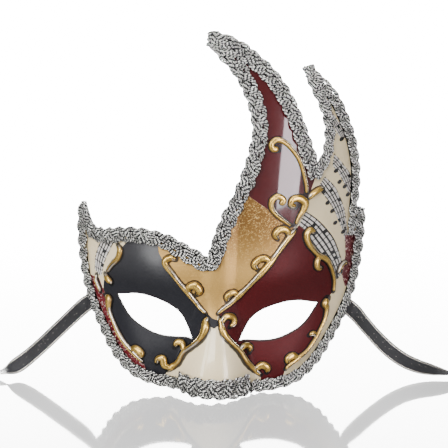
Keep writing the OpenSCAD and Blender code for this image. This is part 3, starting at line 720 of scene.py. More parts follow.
def glitter_group():
    """Small flakes: each cell's brightness, and how far a flake is tilted."""
    tree, p, given, out = new_group(
        "glitter_flakes",
        [("Place", "Vector", None), ("Scale", "Float", 1500.0), ("Share", "Float", 0.5)],
        [("Flake", "Float"), ("Tone", "Color")])
    cells = p.cells(given["Place"], given["Scale"])
    parts = p.node("ShaderNodeSeparateColor", {0: cells.outputs["Color"]}).outputs
    shown = p.math("LESS_THAN", parts[0], given["Share"])
    p.put(out["Flake"], p.math("MULTIPLY", shown, p.ramp(parts[1], 0.2, 1.0)))
    p.put(out["Tone"], cells.outputs["Color"])
    return tree


def weave_group():
    """Threads crossing, as seen on ribbon and band: a height."""
    tree, p, given, out = new_group(
        "crossed_threads",
        [("Along", "Float", 0.0), ("Across", "Float", 0.0), ("Pitch", "Float", 0.3)],
        [("Height", "Float")])
    turn = p.math("DIVIDE", 2 * math.pi, given["Pitch"])
    warp = p.math("SINE", p.math("MULTIPLY", given["Across"], turn))
    weft = p.math("SINE", p.math("MULTIPLY", given["Along"], turn))
    p.put(out["Height"], p.math("MULTIPLY", warp, weft))
    return tree


BRUSHED_EDGE = brushed_edge_group()
MARKS = marks_group()
GLITTER = glitter_group()
WEAVE = weave_group()

CREAM = (0.76, 0.63, 0.39)
TAN_GOLD = (0.39, 0.23, 0.06)
BRONZE_GOLD = (0.13, 0.062, 0.010)
CHARCOAL = (0.013, 0.013, 0.016)
BURGUNDY = (0.052, 0.0022, 0.0032)
INK = (0.004, 0.004, 0.004)
GILT = (0.52, 0.335, 0.08)
OLD_GILT = (0.10, 0.05, 0.014)
SILVER = (0.72, 0.68, 0.60)

# Printed music: gaps between its lines, length of a bar, and share of its cells that are filled.
STAVE_GAPS = 4.0
BAR_STEP = 4.4
FILLED_CELLS = 0.07


def stave_ink(p, name):
    """Five lines with bar lines, between a stave's upper and lower edge."""
    across, along, edge = p.three(name)
    ladder = p.math("MULTIPLY", across, STAVE_GAPS)
    off = p.math("ABSOLUTE", p.math("SUBTRACT", ladder, p.math("ROUND", ladder)))
    lines = p.ramp(off, 0.15, 0.27, 1.0, 0.0)
    bars = p.math("PINGPONG", along, BAR_STEP / 2)
    crossing = p.ramp(bars, 0.18, 0.36, 1.0, 0.0)
    column = p.math("FLOOR", p.math("DIVIDE", along, BAR_STEP / 2))
    cell = p.node("ShaderNodeCombineXYZ", {0: p.math("FLOOR", ladder), 1: column})
    chance = p.node("ShaderNodeTexWhiteNoise", {"Vector": cell.outputs[0]}).outputs["Value"]
    filled = p.math("LESS_THAN", chance, FILLED_CELLS)
    drawn = p.math("MAXIMUM", p.math("MAXIMUM", lines, crossing), filled)
    return p.math("MULTIPLY", drawn, p.ramp(edge, 0.25, 0.45, 1.0, 0.0))


def stave_ground(p, name):
    """The paler band a stave is printed on."""
    return p.ramp(p.three(name)[2], -0.2, 0.3, 1.0, 0.0)


def shell_paint():
    """Hand-painted lacquer: cream, tan gold, charcoal and burgundy, with printed music and outlines, painted
    shade round the scroll feet and under the braids, and a painted sheen on the lower red.
    """
    material, p, shader = new_material("hand_painted_lacquer", {
        "Roughness": 0.3, "Coat Roughness": 0.06})
    place = p.place()
    marks = p.group(MARKS, {"Place": place, "Scale": 45.0, "Amount": 0.6})

    def edge(distance, wobble=0.35, softness=0.12):
        return p.group(BRUSHED_EDGE, {"Distance": distance, "Place": place, "Wobble": wobble,
                                      "Softness": softness})["Mask"]

    gold, black, red, sparkle = (edge(p.number("paint_" + n)) for n in ("gold", "black", "red", "sparkle"))
    height = p.node("ShaderNodeSeparateXYZ", {0: place}).outputs
    glitter = p.group(GLITTER, {"Place": place, "Scale": 1700.0, "Share": 0.45})
    upward = p.ramp(height[2], 0.07, 0.108)
    rightward = p.ramp(height[0], -0.03, 0.012)
    bronze = p.math("MULTIPLY", upward, rightward)
    gold_tone = p.mix(bronze, TAN_GOLD, BRONZE_GOLD)
    flakes = p.math("MULTIPLY", glitter["Flake"], p.math("MULTIPLY_ADD", bronze, 0.4, 0.05))
    gold_tone = p.mix(flakes, gold_tone, (0.80, 0.54, 0.20))
    cream = p.mix(p.math("MULTIPLY", marks["Marks"], 0.5), CREAM, (0.60, 0.50, 0.38))
    colour = p.mix(gold, cream, gold_tone)
    charcoal = p.mix(p.math("MULTIPLY", marks["Marks"], 0.3), CHARCOAL, (0.022, 0.022, 0.026))
    colour = p.mix(black, colour, charcoal)
    burgundy = p.mix(p.math("MULTIPLY", marks["Marks"], 0.5), BURGUNDY, (0.036, 0.002, 0.003))
    # Painted sheen: below the plume the burgundy is painted a little lighter.
    burgundy = p.mix(p.ramp(height[2], 0.099, 0.112, 0.8, 0.0), burgundy, (0.058, 0.0035, 0.0045))
    colour = p.mix(red, colour, burgundy)
    glint = p.group(GLITTER, {"Place": place, "Scale": 1100.0, "Share": 0.35})
    sparkled = p.mix(glint["Flake"], (0.10, 0.008, 0.012), (0.75, 0.55, 0.5))
    colour = p.mix(sparkle, colour, sparkled)
    painted = p.math("MAXIMUM", p.math("MAXIMUM", gold, black), p.math("MAXIMUM", red, sparkle))
    bare = p.math("SUBTRACT", 1.0, painted, clamp=True)
    ink = p.math("MULTIPLY", edge(p.number("note"), 0.2, 0.15), bare)
    ground = 0.0
    for i in range(len(STAVES)):
        ink = p.math("MAXIMUM", ink, p.math("MULTIPLY", stave_ink(p, f"stave_{i}"), bare))
        ground = p.math("MAXIMUM", ground, p.math("MULTIPLY", stave_ground(p, f"stave_{i}"), bare))
    colour = p.mix(p.math("MULTIPLY", ground, 0.75), colour, (0.56, 0.55, 0.58))
    colour = p.mix(ink, colour, INK)
    scroll = p.number("scroll")
    # A black line round the foot of each scroll: the mask's outline paint, and painted shade where the relief
    # meets the shell.
    around = p.ramp(p.math("MULTIPLY_ADD", p.math("SUBTRACT", p.noise(place, 330.0, 2.0), 0.5), 0.9, scroll),
                    0.35, 0.75, 1.0, 0.0)
    colour = p.mix(p.math("MULTIPLY", around, 0.93), colour, INK)
    lid = p.ramp(p.number("eye"), 0.5, 1.4, 1.0, 0.0)
    colour = p.mix(p.math("MULTIPLY", lid, 0.8), colour, (0.02, 0.018, 0.018))
    # Painted shade: a black band along the edge, under the braids, darkens the gaps between their cords.
    braid_shade_band = p.ramp(p.number("rim"), 4.9, 5.5, 1.0, 0.0)
    colour = p.mix(braid_shade_band, colour, INK)
    p.put(shader.inputs["Base Color"], colour)
    metallic = p.math("MULTIPLY", gold, p.math("MULTIPLY_ADD", flakes, 0.4, 0.45))
    glinting = p.math("MULTIPLY", sparkle, p.math("MULTIPLY", glint["Flake"], 0.9))
    metallic = p.math("MAXIMUM", metallic, glinting)
    p.put(shader.inputs["Metallic"], metallic)
    rough = p.blend(gold, 0.27, 0.42)
    rough = p.blend(black, rough, 0.36)
    on_plume = p.ramp(height[2], 0.099, 0.112)
    rough = p.blend(red, rough, p.blend(on_plume, 0.5, 0.3))
    rough = p.math("MULTIPLY_ADD", marks["Marks"], 0.10, rough)
    p.put(shader.inputs["Roughness"], rough)
    specular = p.blend(black, 0.3, p.ramp(height[2], 0.062, 0.09, 0.1, 0.7))
    specular = p.blend(red, specular, 0.12)
    p.put(shader.inputs["Specular IOR Level"], specular)
    red_gloss = p.math("MULTIPLY", red, p.math("MULTIPLY", on_plume, 0.85))
    coat = p.math("MAXIMUM", red_gloss, p.math("MULTIPLY", bare, 0.45))
    p.put(shader.inputs["Coat Weight"], coat)
    orange_peel = p.noise(place, 300.0, 2.0, 0.5)
    normal = p.bump(orange_peel, 0.14, 0.0006)
    flaked = p.math("MAXIMUM", p.math("MULTIPLY", gold, 0.4), sparkle)
    flake_relief = p.math("MULTIPLY", glitter["Flake"], flaked)
    normal = p.bump(flake_relief, 0.5, 0.0003, normal)
    raised = p.math("MAXIMUM", p.math("MAXIMUM", red, black), gold)
    p.put(shader.inputs["Normal"], p.bump(raised, 0.5, 0.00015, normal))
    return material


def bare_inside():
    """Unpainted pressed plastic with the marks of its mould and its lacquer's overspray."""
    material, p, shader = new_material("bare_pressed_inside", {"Roughness": 0.55, "Specular IOR Level": 0.08})
    place = p.place()
    marks = p.group(MARKS, {"Place": place, "Scale": 30.0, "Amount": 0.8})
    spray = p.ramp(p.math("MULTIPLY_ADD", p.noise(place, 120.0), 5.0, p.number("rim")), 4.0, 9.0, 0.35, 0.0)
    colour = p.mix(marks["Marks"], (0.34, 0.33, 0.29), (0.20, 0.185, 0.155))
    p.put(shader.inputs["Base Color"], p.mix(spray, colour, (0.06, 0.045, 0.04)))
    p.put(shader.inputs["Roughness"], p.math("MULTIPLY_ADD", marks["Grain"], 0.2, 0.6))
    height = p.math("MULTIPLY_ADD", marks["Grain"], 0.4, p.noise(place, 140.0, 3.0))
    p.put(shader.inputs["Normal"], p.bump(height, 0.35, 0.0008))
    return material


def gilt_scroll():
    """Gold rubbed over raised paste, silver along one ridge of a stem, with dirt in the hollows."""
    material, p, shader = new_material("rubbed_gilt_relief", {"Roughness": 0.28})
    place = p.place()
    along, across, half = p.three("stroke")
    rise = p.number("rise")
    marks = p.group(MARKS, {"Place": place, "Scale": 190.0, "Amount": 1.0})
    wobble = p.math("MULTIPLY_ADD", p.math("SUBTRACT", p.noise(place, 420.0, 2.0), 0.5), 0.5, across)
    stem = p.ramp(half, 1.45, 1.85, 1.0, 0.0)
    silver = p.math("MULTIPLY", stem, p.ramp(wobble, 0.42, 0.54))
    off_groove = p.math("ABSOLUTE", p.math("SUBTRACT", wobble, GROOVE_AT))
    groove = p.math("MULTIPLY", stem, p.ramp(off_groove, 0.16, 0.32, 1.0, 0.0))
    foot = p.ramp(p.math("ABSOLUTE", wobble), 0.72, 0.95)
    low = p.ramp(rise, 0.15, 0.5, 1.0, 0.0)
    colour = p.mix(marks["Marks"], GILT, (0.42, 0.26, 0.06))
    colour = p.mix(p.math("MULTIPLY", silver, 0.85), colour, SILVER)
    colour = p.mix(p.math("MULTIPLY", groove, 0.92), colour, INK)
    colour = p.mix(p.math("MULTIPLY", foot, 0.75), colour, OLD_GILT)
    colour = p.mix(p.math("MULTIPLY", low, 0.8), colour, INK)
    p.put(shader.inputs["Base Color"], colour)
    dark = p.math("MAXIMUM", groove, p.math("MAXIMUM", low, p.math("MULTIPLY", foot, 0.6)))
    p.put(shader.inputs["Metallic"], p.blend(dark, 0.95, 0.15))
    p.put(shader.inputs["Roughness"], p.blend(dark, p.math("MULTIPLY_ADD", marks["Grain"], 0.16, 0.2), 0.6))
    height = p.math("SUBTRACT", p.noise(place, 700.0, 3.0), p.math("MULTIPLY", groove, 1.2))
    p.put(shader.inputs["Normal"], p.bump(height, 0.35, 0.0003))
    return material


# Length of cord in which its two plies go once round each other.
TWIST = 1.7


def metallic_cord():
    """Two-ply cord, one ply bright silver foil and the other black thread."""
    material, p, shader = new_material("two_ply_metallic_cord", {"Anisotropic": 0.3})
    place = p.place()
    run, around_cos, around_sin = (p.number(n) for n in ("run", "around_cos", "around_sin"))
    uneven = p.math("MULTIPLY", p.noise(place, 500.0, 1.0), 3.0)
    turn = p.math("MULTIPLY_ADD", run, 2 * math.pi / TWIST, uneven)
    twist = p.math("ADD", p.math("MULTIPLY", p.math("SINE", turn), around_cos),
                   p.math("MULTIPLY", p.math("COSINE", turn), around_sin))
    foil = p.ramp(twist, 0.1, 0.42)
    marks = p.group(MARKS, {"Place": place, "Scale": 160.0, "Amount": 0.8})
    bright = p.mix(marks["Marks"], (0.64, 0.64, 0.60), (0.30, 0.29, 0.27))
    p.put(shader.inputs["Base Color"], p.mix(foil, (0.004, 0.004, 0.0045), bright))
    p.put(shader.inputs["Metallic"], p.math("MULTIPLY", foil, 0.8))
    p.put(shader.inputs["Roughness"], p.blend(foil, 0.75, 0.33))
    fibres = p.noise(place, 2600.0, 2.0)
    height = p.math("MULTIPLY_ADD", fibres, 0.3, p.math("ABSOLUTE", twist))
    p.put(shader.inputs["Normal"], p.bump(height, 0.6, 0.0002))
    return material


def satin_ribbon():
    """Charcoal satin with a line of silver lurex along each selvedge."""
    material, p, shader = new_material("charcoal_satin_lurex", {
        "Sheen Weight": 0.1, "Sheen Roughness": 0.4, "Anisotropic": 0.5, "Specular IOR Level": 0.25})
    place = p.place()
    along, across = p.three("ribbon")[:2]
    off = p.math("ABSOLUTE", across)
    lurex = p.ramp(p.math("ABSOLUTE", p.math("SUBTRACT", off, 0.80)), 0.035, 0.085, 1.0, 0.0)
    dashes = p.math("PINGPONG", p.math("MULTIPLY_ADD", p.noise(place, 500.0, 1.0), 0.6, along), 0.45)
    lurex = p.math("MULTIPLY", lurex, p.ramp(dashes, 0.05, 0.2, 0.25, 1.0))
    weave = p.group(WEAVE, {"Along": along, "Across": p.math("MULTIPLY", across, RIBBON_W / 2), "Pitch": 0.5})
    marks = p.group(MARKS, {"Place": place, "Scale": 60.0, "Amount": 0.5})
    cloth = p.mix(marks["Marks"], (0.012, 0.012, 0.014), (0.021, 0.020, 0.023))
    cloth = p.mix(p.ramp(weave["Height"], 0.1, 1.0, 0.0, 0.4), cloth, (0.036, 0.036, 0.04))
    border = p.ramp(off, 0.90, 0.95)
    cloth = p.mix(border, cloth, (0.010, 0.010, 0.012))
    glint = p.group(GLITTER, {"Place": place, "Scale": 2100.0, "Share": 0.02})
    bright = p.math("MAXIMUM", lurex, p.math("MULTIPLY", glint["Flake"], 0.3))
    p.put(shader.inputs["Base Color"], p.mix(bright, cloth, SILVER))
    p.put(shader.inputs["Metallic"], p.math("MULTIPLY", bright, 0.85))
    p.put(shader.inputs["Roughness"], p.blend(bright, 0.42, 0.25))
    height = p.math("MULTIPLY_ADD", lurex, 1.0, p.math("MULTIPLY", weave["Height"], 0.5))
    p.put(shader.inputs["Normal"], p.bump(height, 0.5, 0.0002))
    return material


def tie_band():
    """Black woven band."""
    material, p, shader = new_material("black_woven_band", {"Sheen Weight": 0.3, "Sheen Roughness": 0.5})
    place = p.place()
    along, across = p.three("ribbon")[:2]
    weave = p.group(WEAVE, {"Along": along, "Across": p.math("MULTIPLY", across, 2.5), "Pitch": 0.8})
    tone = p.ramp(weave["Height"], -0.6, 0.9)
    p.put(shader.inputs["Base Color"], p.mix(tone, (0.010, 0.010, 0.011), (0.040, 0.038, 0.042)))
    p.put(shader.inputs["Roughness"], p.math("MULTIPLY_ADD", p.noise(place, 900.0), 0.25, 0.5))
    p.put(shader.inputs["Normal"], p.bump(weave["Height"], 0.7, 0.0003))
    return material


def black_felt():
    """Pressed felt with loose fibres."""
    material, p, shader = new_material("black_pressed_felt", {
        "Sheen Weight": 0.12, "Sheen Roughness": 0.6, "Specular IOR Level": 0.15})
    place = p.place()
    fibres = p.noise(place, 1500.0, 4.0, 0.7)
    clumps = p.noise(place, 260.0, 3.0)
    p.put(shader.inputs["Base Color"], p.mix(clumps, (0.012, 0.012, 0.013), (0.034, 0.033, 0.036)))
    p.put(shader.inputs["Roughness"], p.math("MULTIPLY_ADD", fibres, 0.15, 0.8))
    p.put(shader.inputs["Normal"], p.bump(p.math("MULTIPLY_ADD", clumps, 0.6, fibres), 0.7, 0.0005))
    return material


# ---- Pieces ----
def finish_piece(piece, slot, *nodes):
    """Rides on the mask and stands for its CAD nodes; the slot is not used."""
    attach(piece, "root")
    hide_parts(*nodes)


# A ribbon's way from its glued end to its roll: x, y, z, and its turn from standing on edge, in degrees.
LEFT_ROUTE = [
    [-70.6, 12.7, 56.8, 0], [-76.1, 19.1, 52, 0], [-81.3, 25.1, 47.4, 0], [-87, 28.1, 42.8, 0],
    [-94.5, 27, 36, 0], [-103.5, 23.8, 27.8, 0], [-112.5, 20.4, 19.6, 0], [-121, 17.4, 12.5, 4],
    [-128.5, 15, 7.2, 30], [-135.5, 13.2, 4.2, 82], [-143, 11.8, 2.8, 96], [-151.5, 10.8, 1.6, 92],
    [-159.5, 10.5, 2, 76], [-167.5, 10.5, 4.4, 34], [-177.5, 10.5, 5.7, 0]]
RIGHT_ROUTE = [
    [69.6, 15, 53, 0], [74.6, 21.2, 48.5, 0], [79.5, 27, 44, 0], [85, 28.6, 39, 0],
    [91.5, 26.2, 31.6, 0], [99, 22.4, 23.8, 0], [106.5, 19.4, 17.1, 0], [114.5, 17, 11.8, 4],
    [123, 15, 8.3, 12], [131.5, 13.4, 6.4, 28], [140, 12, 5, 52], [149.5, 11, 3, 78],
    [158.5, 10.5, 2.2, 74], [166.5, 10.5, 4.4, 34], [176.5, 10.5, 5.7, 0]]
RIBBON_LENGTH = 400
WIND_IN = 5
RIBBON_STEP = 1.2
# Section of the ribbon: share of the half width, and half thickness, thicker at the selvedges.
RIBBON_SECTION = [[-1, 0.08], [-0.97, 0.22], [-0.88, 0.25], [-0.76, 0.24], [-0.6, 0.18], [-0.3, 0.17],
                  [0, 0.17], [0.3, 0.17], [0.6, 0.18], [0.76, 0.24], [0.88, 0.25], [0.97, 0.22], [1, 0.08]]
RIBBON_CUP = 0.3


def roll_centre(route):
    end = route[-1]
    side = -1 if end[0] < 0 else 1
    return side, end[0] + side * RIBBON_T / 2, end[1] + ROLL_OUTER - RIBBON_T / 2


def ribbon_line(route):
    """The whole ribbon's middle line, wound inwards from the route's end, with its turn."""
    way = curve(route, 8)
    side, cx, cy = roll_centre(route)
    turns = np.arange(0, 4 * math.pi, 0.04)[1:]
    radius = ROLL_OUTER - RIBBON_T / 2 - WIND_IN * turns / (2 * math.pi)
    roll = np.stack([cx + side * radius * np.sin(turns), cy - radius * np.cos(turns),
                     np.full(len(turns), route[-1][2]), np.zeros(len(turns))], 1)
    line = np.vstack([way, roll])
    lengths = run_lengths(line[:, :3])
    at = np.linspace(0, RIBBON_LENGTH, int(RIBBON_LENGTH / RIBBON_STEP) + 1)
    return np.stack([np.interp(at, lengths, line[:, i]) for i in range(4)], 1)


def make_ribbon(name, route, tie):
    line = ribbon_line(route)
    here, turn = line[:, :3], np.radians(line[:, 3:])
    ahead = unit(np.gradient(here, axis=0))
    edge = unit(np.array([0, 0, 1]) - ahead[:, 2:] * ahead)
    wide = edge * np.cos(turn) + np.cross(ahead, edge) * np.sin(turn)
    thick = np.cross(wide, ahead)
    section = [[v, h, 1] for v, h in RIBBON_SECTION] + [[v, -h, -1] for v, h in RIBBON_SECTION[::-1]]
    rings = []
    values = []
    run = run_lengths(here)
    for v, h, face in section:
        rings.append(here + wide * v * RIBBON_W / 2 + thick * (h + RIBBON_CUP * (v * v - 0.4) * 0.5))
        values.append(np.stack([run, np.full(len(run), v), np.full(len(run), face)], 1))
    sides = len(section)
    points = np.stack(rings, 1).reshape(-1, 3)
    piece = make_mesh(name, points, tube_faces(len(here), sides),
                      {"ribbon": np.stack(values, 1).reshape(-1, 3)})
    piece.data.materials.append(SATIN)
    face_outwards(piece)
    side_name = name.split("_")[1]
    finish_piece(piece, "satin_ribbon", "ribbon_" + side_name, "ribbon_roll_" + side_name)


def face_outwards(piece):
    """Turns a closed mesh's faces outwards."""
    mesh = bmesh.new()
    mesh.from_mesh(piece.data)
    bmesh.ops.recalc_face_normals(mesh, faces=mesh.faces)
    mesh.to_mesh(piece.data)
    mesh.free()


# The tie's loop reaches from inside the turns to outside them, and from the floor over the ribbon.
TIE_IN, TIE_OUT, TIE_TOP = 22.5, 29.5, 11.3
TIE_W, TIE_T = 5, 0.5
TIE_ROUND = 1.2


def make_tie(name, route):
    side, cx, cy = roll_centre(route)
    inset = TIE_T / 2
    low, high = np.array([TIE_IN + inset, inset]), np.array([TIE_OUT - inset, TIE_TOP - inset])
    loop = []
    for corner, start in (((high[0], low[1]), -90), ((high[0], high[1]), 0),
                          ((low[0], high[1]), 90), ((low[0], low[1]), 180)):
        middle = np.clip(corner, low + TIE_ROUND, high - TIE_ROUND)
        for turn in np.radians(np.arange(start, start + 91, 15)):
            loop.append(middle + TIE_ROUND * np.array([math.cos(turn), math.sin(turn)]))
    loop = np.array(loop)
    loop = resample(np.vstack([loop, loop[:1]]), 0.5)[:-1]
    out = loop_outward(loop)
    run = run_lengths(loop)
    section = [[v, h] for v, h in ((-1, 0.3), (-0.94, 1), (0, 1.1), (0.94, 1), (1, 0.3),
                                   (1, -0.3), (0.94, -1), (0, -1), (-0.94, -1), (-1, -0.3))]
    points, values = [], []
    for (x, z), (ox, oz), r in zip(loop, out, run):
        for v, h in section:
            lift = h * TIE_T / 2 * 0.9
            points.append([cx + side * (x + ox * lift), cy + v * TIE_W / 2, z + oz * lift])
            values.append([r, v, h])
    piece = make_mesh(name, points, tube_faces(len(loop), len(section), closed=True), {"ribbon": values})
    piece.data.materials.append(BAND)
    face_outwards(piece)
    finish_piece(piece, "tie_band", name.replace("_wound", ""))
    return piece


SATIN = satin_ribbon()
BAND = tie_band()
make_ribbon("ribbon_left_satin", LEFT_ROUTE, make_tie("ribbon_tie_left_wound", LEFT_ROUTE))
make_ribbon("ribbon_right_satin", RIGHT_ROUTE, make_tie("ribbon_tie_right_wound", RIGHT_ROUTE))

make_shell()


# ---- Raised scrolls ----
SCROLL_GLUE, BRANCH_LIFT, SCROLL_RISE = 0.55, 0.13, 0.95
FINE_END = 0.3
# Groove along a stem: where it lies across the half width, and how deep it is.
GROOVE_AT, GROOVE_DEPTH = 0.2, 0.4


def scroll_height(v, half):
    """Height of a scroll's section: a round back, with a groove along a thin stem."""
    back = np.sqrt(np.clip(1 - np.abs(v) ** 2.4, 0, 1))
    stem_share = 1 - smooth((half - 1.4) / 0.5)
    return back - stem_share * GROOVE_DEPTH * bell((v - GROOVE_AT) / 0.18)


def stroke_mesh(stroke, lift, first):
    line = resample(curve(stroke, 8), 0.45)
    run = run_lengths(line[:, :2])
    half = np.maximum(line[:, 2], FINE_END)
    left = np.minimum(run, run[-1] - run)
    dome = np.sqrt(np.clip(1 - (1 - np.minimum(left / half, 1)) ** 2, 0.02, 1))
    x, z = line[:, 0], line[:, 1]
    ahead = unit(np.gradient(np.stack([x, skin(x, z), z], 1), axis=0))
    across = unit(np.cross(skin_normal(x, z), ahead))
    places = np.linspace(-1, 1, 15)
    points, stroke_values, rise = [], [], []
    for v in list(places) + [1.0, -1.0]:
        flat = len(points) >= len(places)
        h = np.zeros(len(x)) if flat else scroll_height(v, half)
        top = (SCROLL_GLUE * 0.9 + lift + h * half * SCROLL_RISE) * dome
        height = np.full(len(x), -0.2) if flat else np.maximum(top, 0.05)
        wide = half * dome * v * (1.0 if flat or abs(v) < 0.99 else 1.04)
        points.append(over_skin(x + across[:, 0] * wide, z + across[:, 2] * wide, height))
        stroke_values.append(np.stack([run, np.full(len(x), v), half], 1))
        rise.append(np.zeros(len(x)) if flat else height / (SCROLL_GLUE + half * SCROLL_RISE))
    sides = len(points)
    faces = tube_faces(len(x), sides, first=first)
    stack = [np.stack(a, 1).reshape(len(x) * sides, -1) for a in (points, stroke_values)]
    return stack[0], faces, stack[1], np.stack(rise, 1).ravel()


def make_scroll(name, strokes):
    points, faces, values, rise = [], [], [], []
    for i, s in enumerate(strokes):
        first = sum(len(p) for p in points)
        p, f, v, r = stroke_mesh(s, i * BRANCH_LIFT, first)
        points.append(p)
        faces += f
        values.append(v)
        rise.append(r)
    piece = make_mesh(name + "_gilt", stand(np.vstack(points)), faces,
                      {"stroke": np.vstack(values), "rise": np.concatenate(rise)})
    piece.data.materials.append(GILT_SCROLL)
    face_outwards(piece)
    finish_piece(piece, "gold_relief", name)


GILT_SCROLL = gilt_scroll()
for scroll_name, scroll_strokes in SCROLLS.items():
    make_scroll(scroll_name, scroll_strokes)


# ---- Cloth patches over the ribbon ends ----
PATCH_SIZE, PATCH_SHORT, PATCH_T = 17, 0.62, 0.7
PATCH_PLAY, PATCH_LIFT, PATCH_BACK, PATCH_DROP = 0.8, 1.7, 1.5, 1.2


def make_patch(name, route):
    side = -1 if route[0][0] < 0 else 1
    x, z = route[0][0] - NOSE_X, route[0][2] - FOOT_LIFT
    centre = np.array([x * math.cos(LEAN) - z * math.sin(LEAN) + side * PATCH_BACK,
                       x * math.sin(LEAN) + z * math.cos(LEAN) - PATCH_DROP])
    along = unit(np.array([route[1][0] - route[0][0], route[1][2] - route[0][2]], float))
    across = np.array([-along[1], along[0]])
    tunnel = RIBBON_W / 2 + PATCH_PLAY
    rows, columns = 25, 37
    u = np.linspace(-1, 1, rows)[:, None] * np.ones((1, columns))
    v = np.linspace(-1, 1, columns)[None] * np.ones((rows, 1))
    # Rounded corners, pulled in from the grid's square ones.
    pull = 1 - 0.10 * np.abs(u) ** 5 * np.abs(v) ** 5
    across_by = v * pull * PATCH_SIZE / 2
    p = centre + along * (u * pull * PATCH_SIZE * PATCH_SHORT / 2)[..., None] + across * across_by[..., None]
    arch = RIBBON_T + PATCH_LIFT - GLUE
    rise = GLUE + arch * (1 - smooth((np.abs(across_by) - tunnel + PATCH_PLAY) / (2 * PATCH_PLAY)))
    thin = 1 - 0.55 * np.maximum(np.abs(u) ** 12, np.abs(v) ** 12)
    flat = p.reshape(-1, 2)
    near = inside_skin(flat[:, 0], flat[:, 1], (rise - 0.1).ravel())
    far = inside_skin(flat[:, 0], flat[:, 1], (rise + PATCH_T * thin).ravel())
    count = rows * columns
    faces = []
    for i in range(rows - 1):
        for j in range(columns - 1):
            a, b = i * columns + j, (i + 1) * columns + j
            faces += [(a, a + 1, b + 1, b), (count + a, count + b, count + b + 1, count + a + 1)]
    border = ([(0, j) for j in range(columns - 1)] + [(i, columns - 1) for i in range(rows - 1)]
              + [(rows - 1, j) for j in range(columns - 1, 0, -1)] + [(i, 0) for i in range(rows - 1, 0, -1)])
    ids = [i * columns + j for i, j in border]
    faces += [(ids[k - 1], ids[k], count + ids[k], count + ids[k - 1]) for k in range(len(ids))]
    piece = make_mesh(name + "_felt", stand(np.vstack([near, far])), faces)
    piece.data.materials.append(FELT)
    face_outwards(piece)
    finish_piece(piece, "cloth_patch", name)


FELT = black_felt()
make_patch("ribbon_patch_left", LEFT_ROUTE)
make_patch("ribbon_patch_right", RIGHT_ROUTE)


# ---- Gimp braid ----
class Nodes:
    """Short calls for the nodes of a geometry tree."""

    def __init__(self, name, inputs):
        self.tree = bpy.data.node_groups.new(name, "GeometryNodeTree")
        face = self.tree.interface
        face.new_socket("Geometry", in_out="INPUT", socket_type="NodeSocketGeometry")
        self.ids = {}
        for key, kind, value in inputs:
            socket = face.new_socket(key, in_out="INPUT", socket_type="NodeSocket" + kind)
            if value is not None:
                socket.default_value = value
            self.ids[key] = socket.identifier
        face.new_socket("Geometry", in_out="OUTPUT", socket_type="NodeSocketGeometry")
        self.given = self.tree.nodes.new("NodeGroupInput").outputs
        self.out = self.tree.nodes.new("NodeGroupOutput").inputs

    def node(self, kind, inputs=None, **settings):
        node = self.tree.nodes.new(kind)
        for key, value in settings.items():
            setattr(node, key, value)
        for key, value in (inputs or {}).items():
            if isinstance(value, bpy.types.NodeSocket):
                self.tree.links.new(value, node.inputs[key])
            else:
                node.inputs[key].default_value = value
        return node

    def math(self, operation, *values):
        return self.node("ShaderNodeMath", dict(enumerate(values)), operation=operation).outputs[0]

    def vector(self, operation, a, b=None, scale=None):
        node = self.node("ShaderNodeVectorMath", operation=operation)
        for key, value in ((0, a), (1, b), ("Scale", scale)):
            if value is not None:
                self.tree.links.new(value, node.inputs[key])
        return node.outputs[0]

    def store(self, geometry, name, value):
        values = {"Geometry": geometry, "Name": name, "Value": value}
        stored = self.node("GeometryNodeStoreNamedAttribute", values, data_type="FLOAT", domain="POINT")
        return stored.outputs[0]

    def along_path(self, path, name, length):
        """A vector named on the path, read at a length along it."""
        named = self.node("GeometryNodeInputNamedAttribute", {"Name": name}, data_type="FLOAT_VECTOR")
        node = self.node("GeometryNodeSampleCurve", {"Curves": path, "Length": length},
                         data_type="FLOAT_VECTOR", mode="LENGTH", use_all_curves=False)
        self.tree.links.new(named.outputs[0], node.inputs["Value"])
        return node


CORD_SIDES = 6


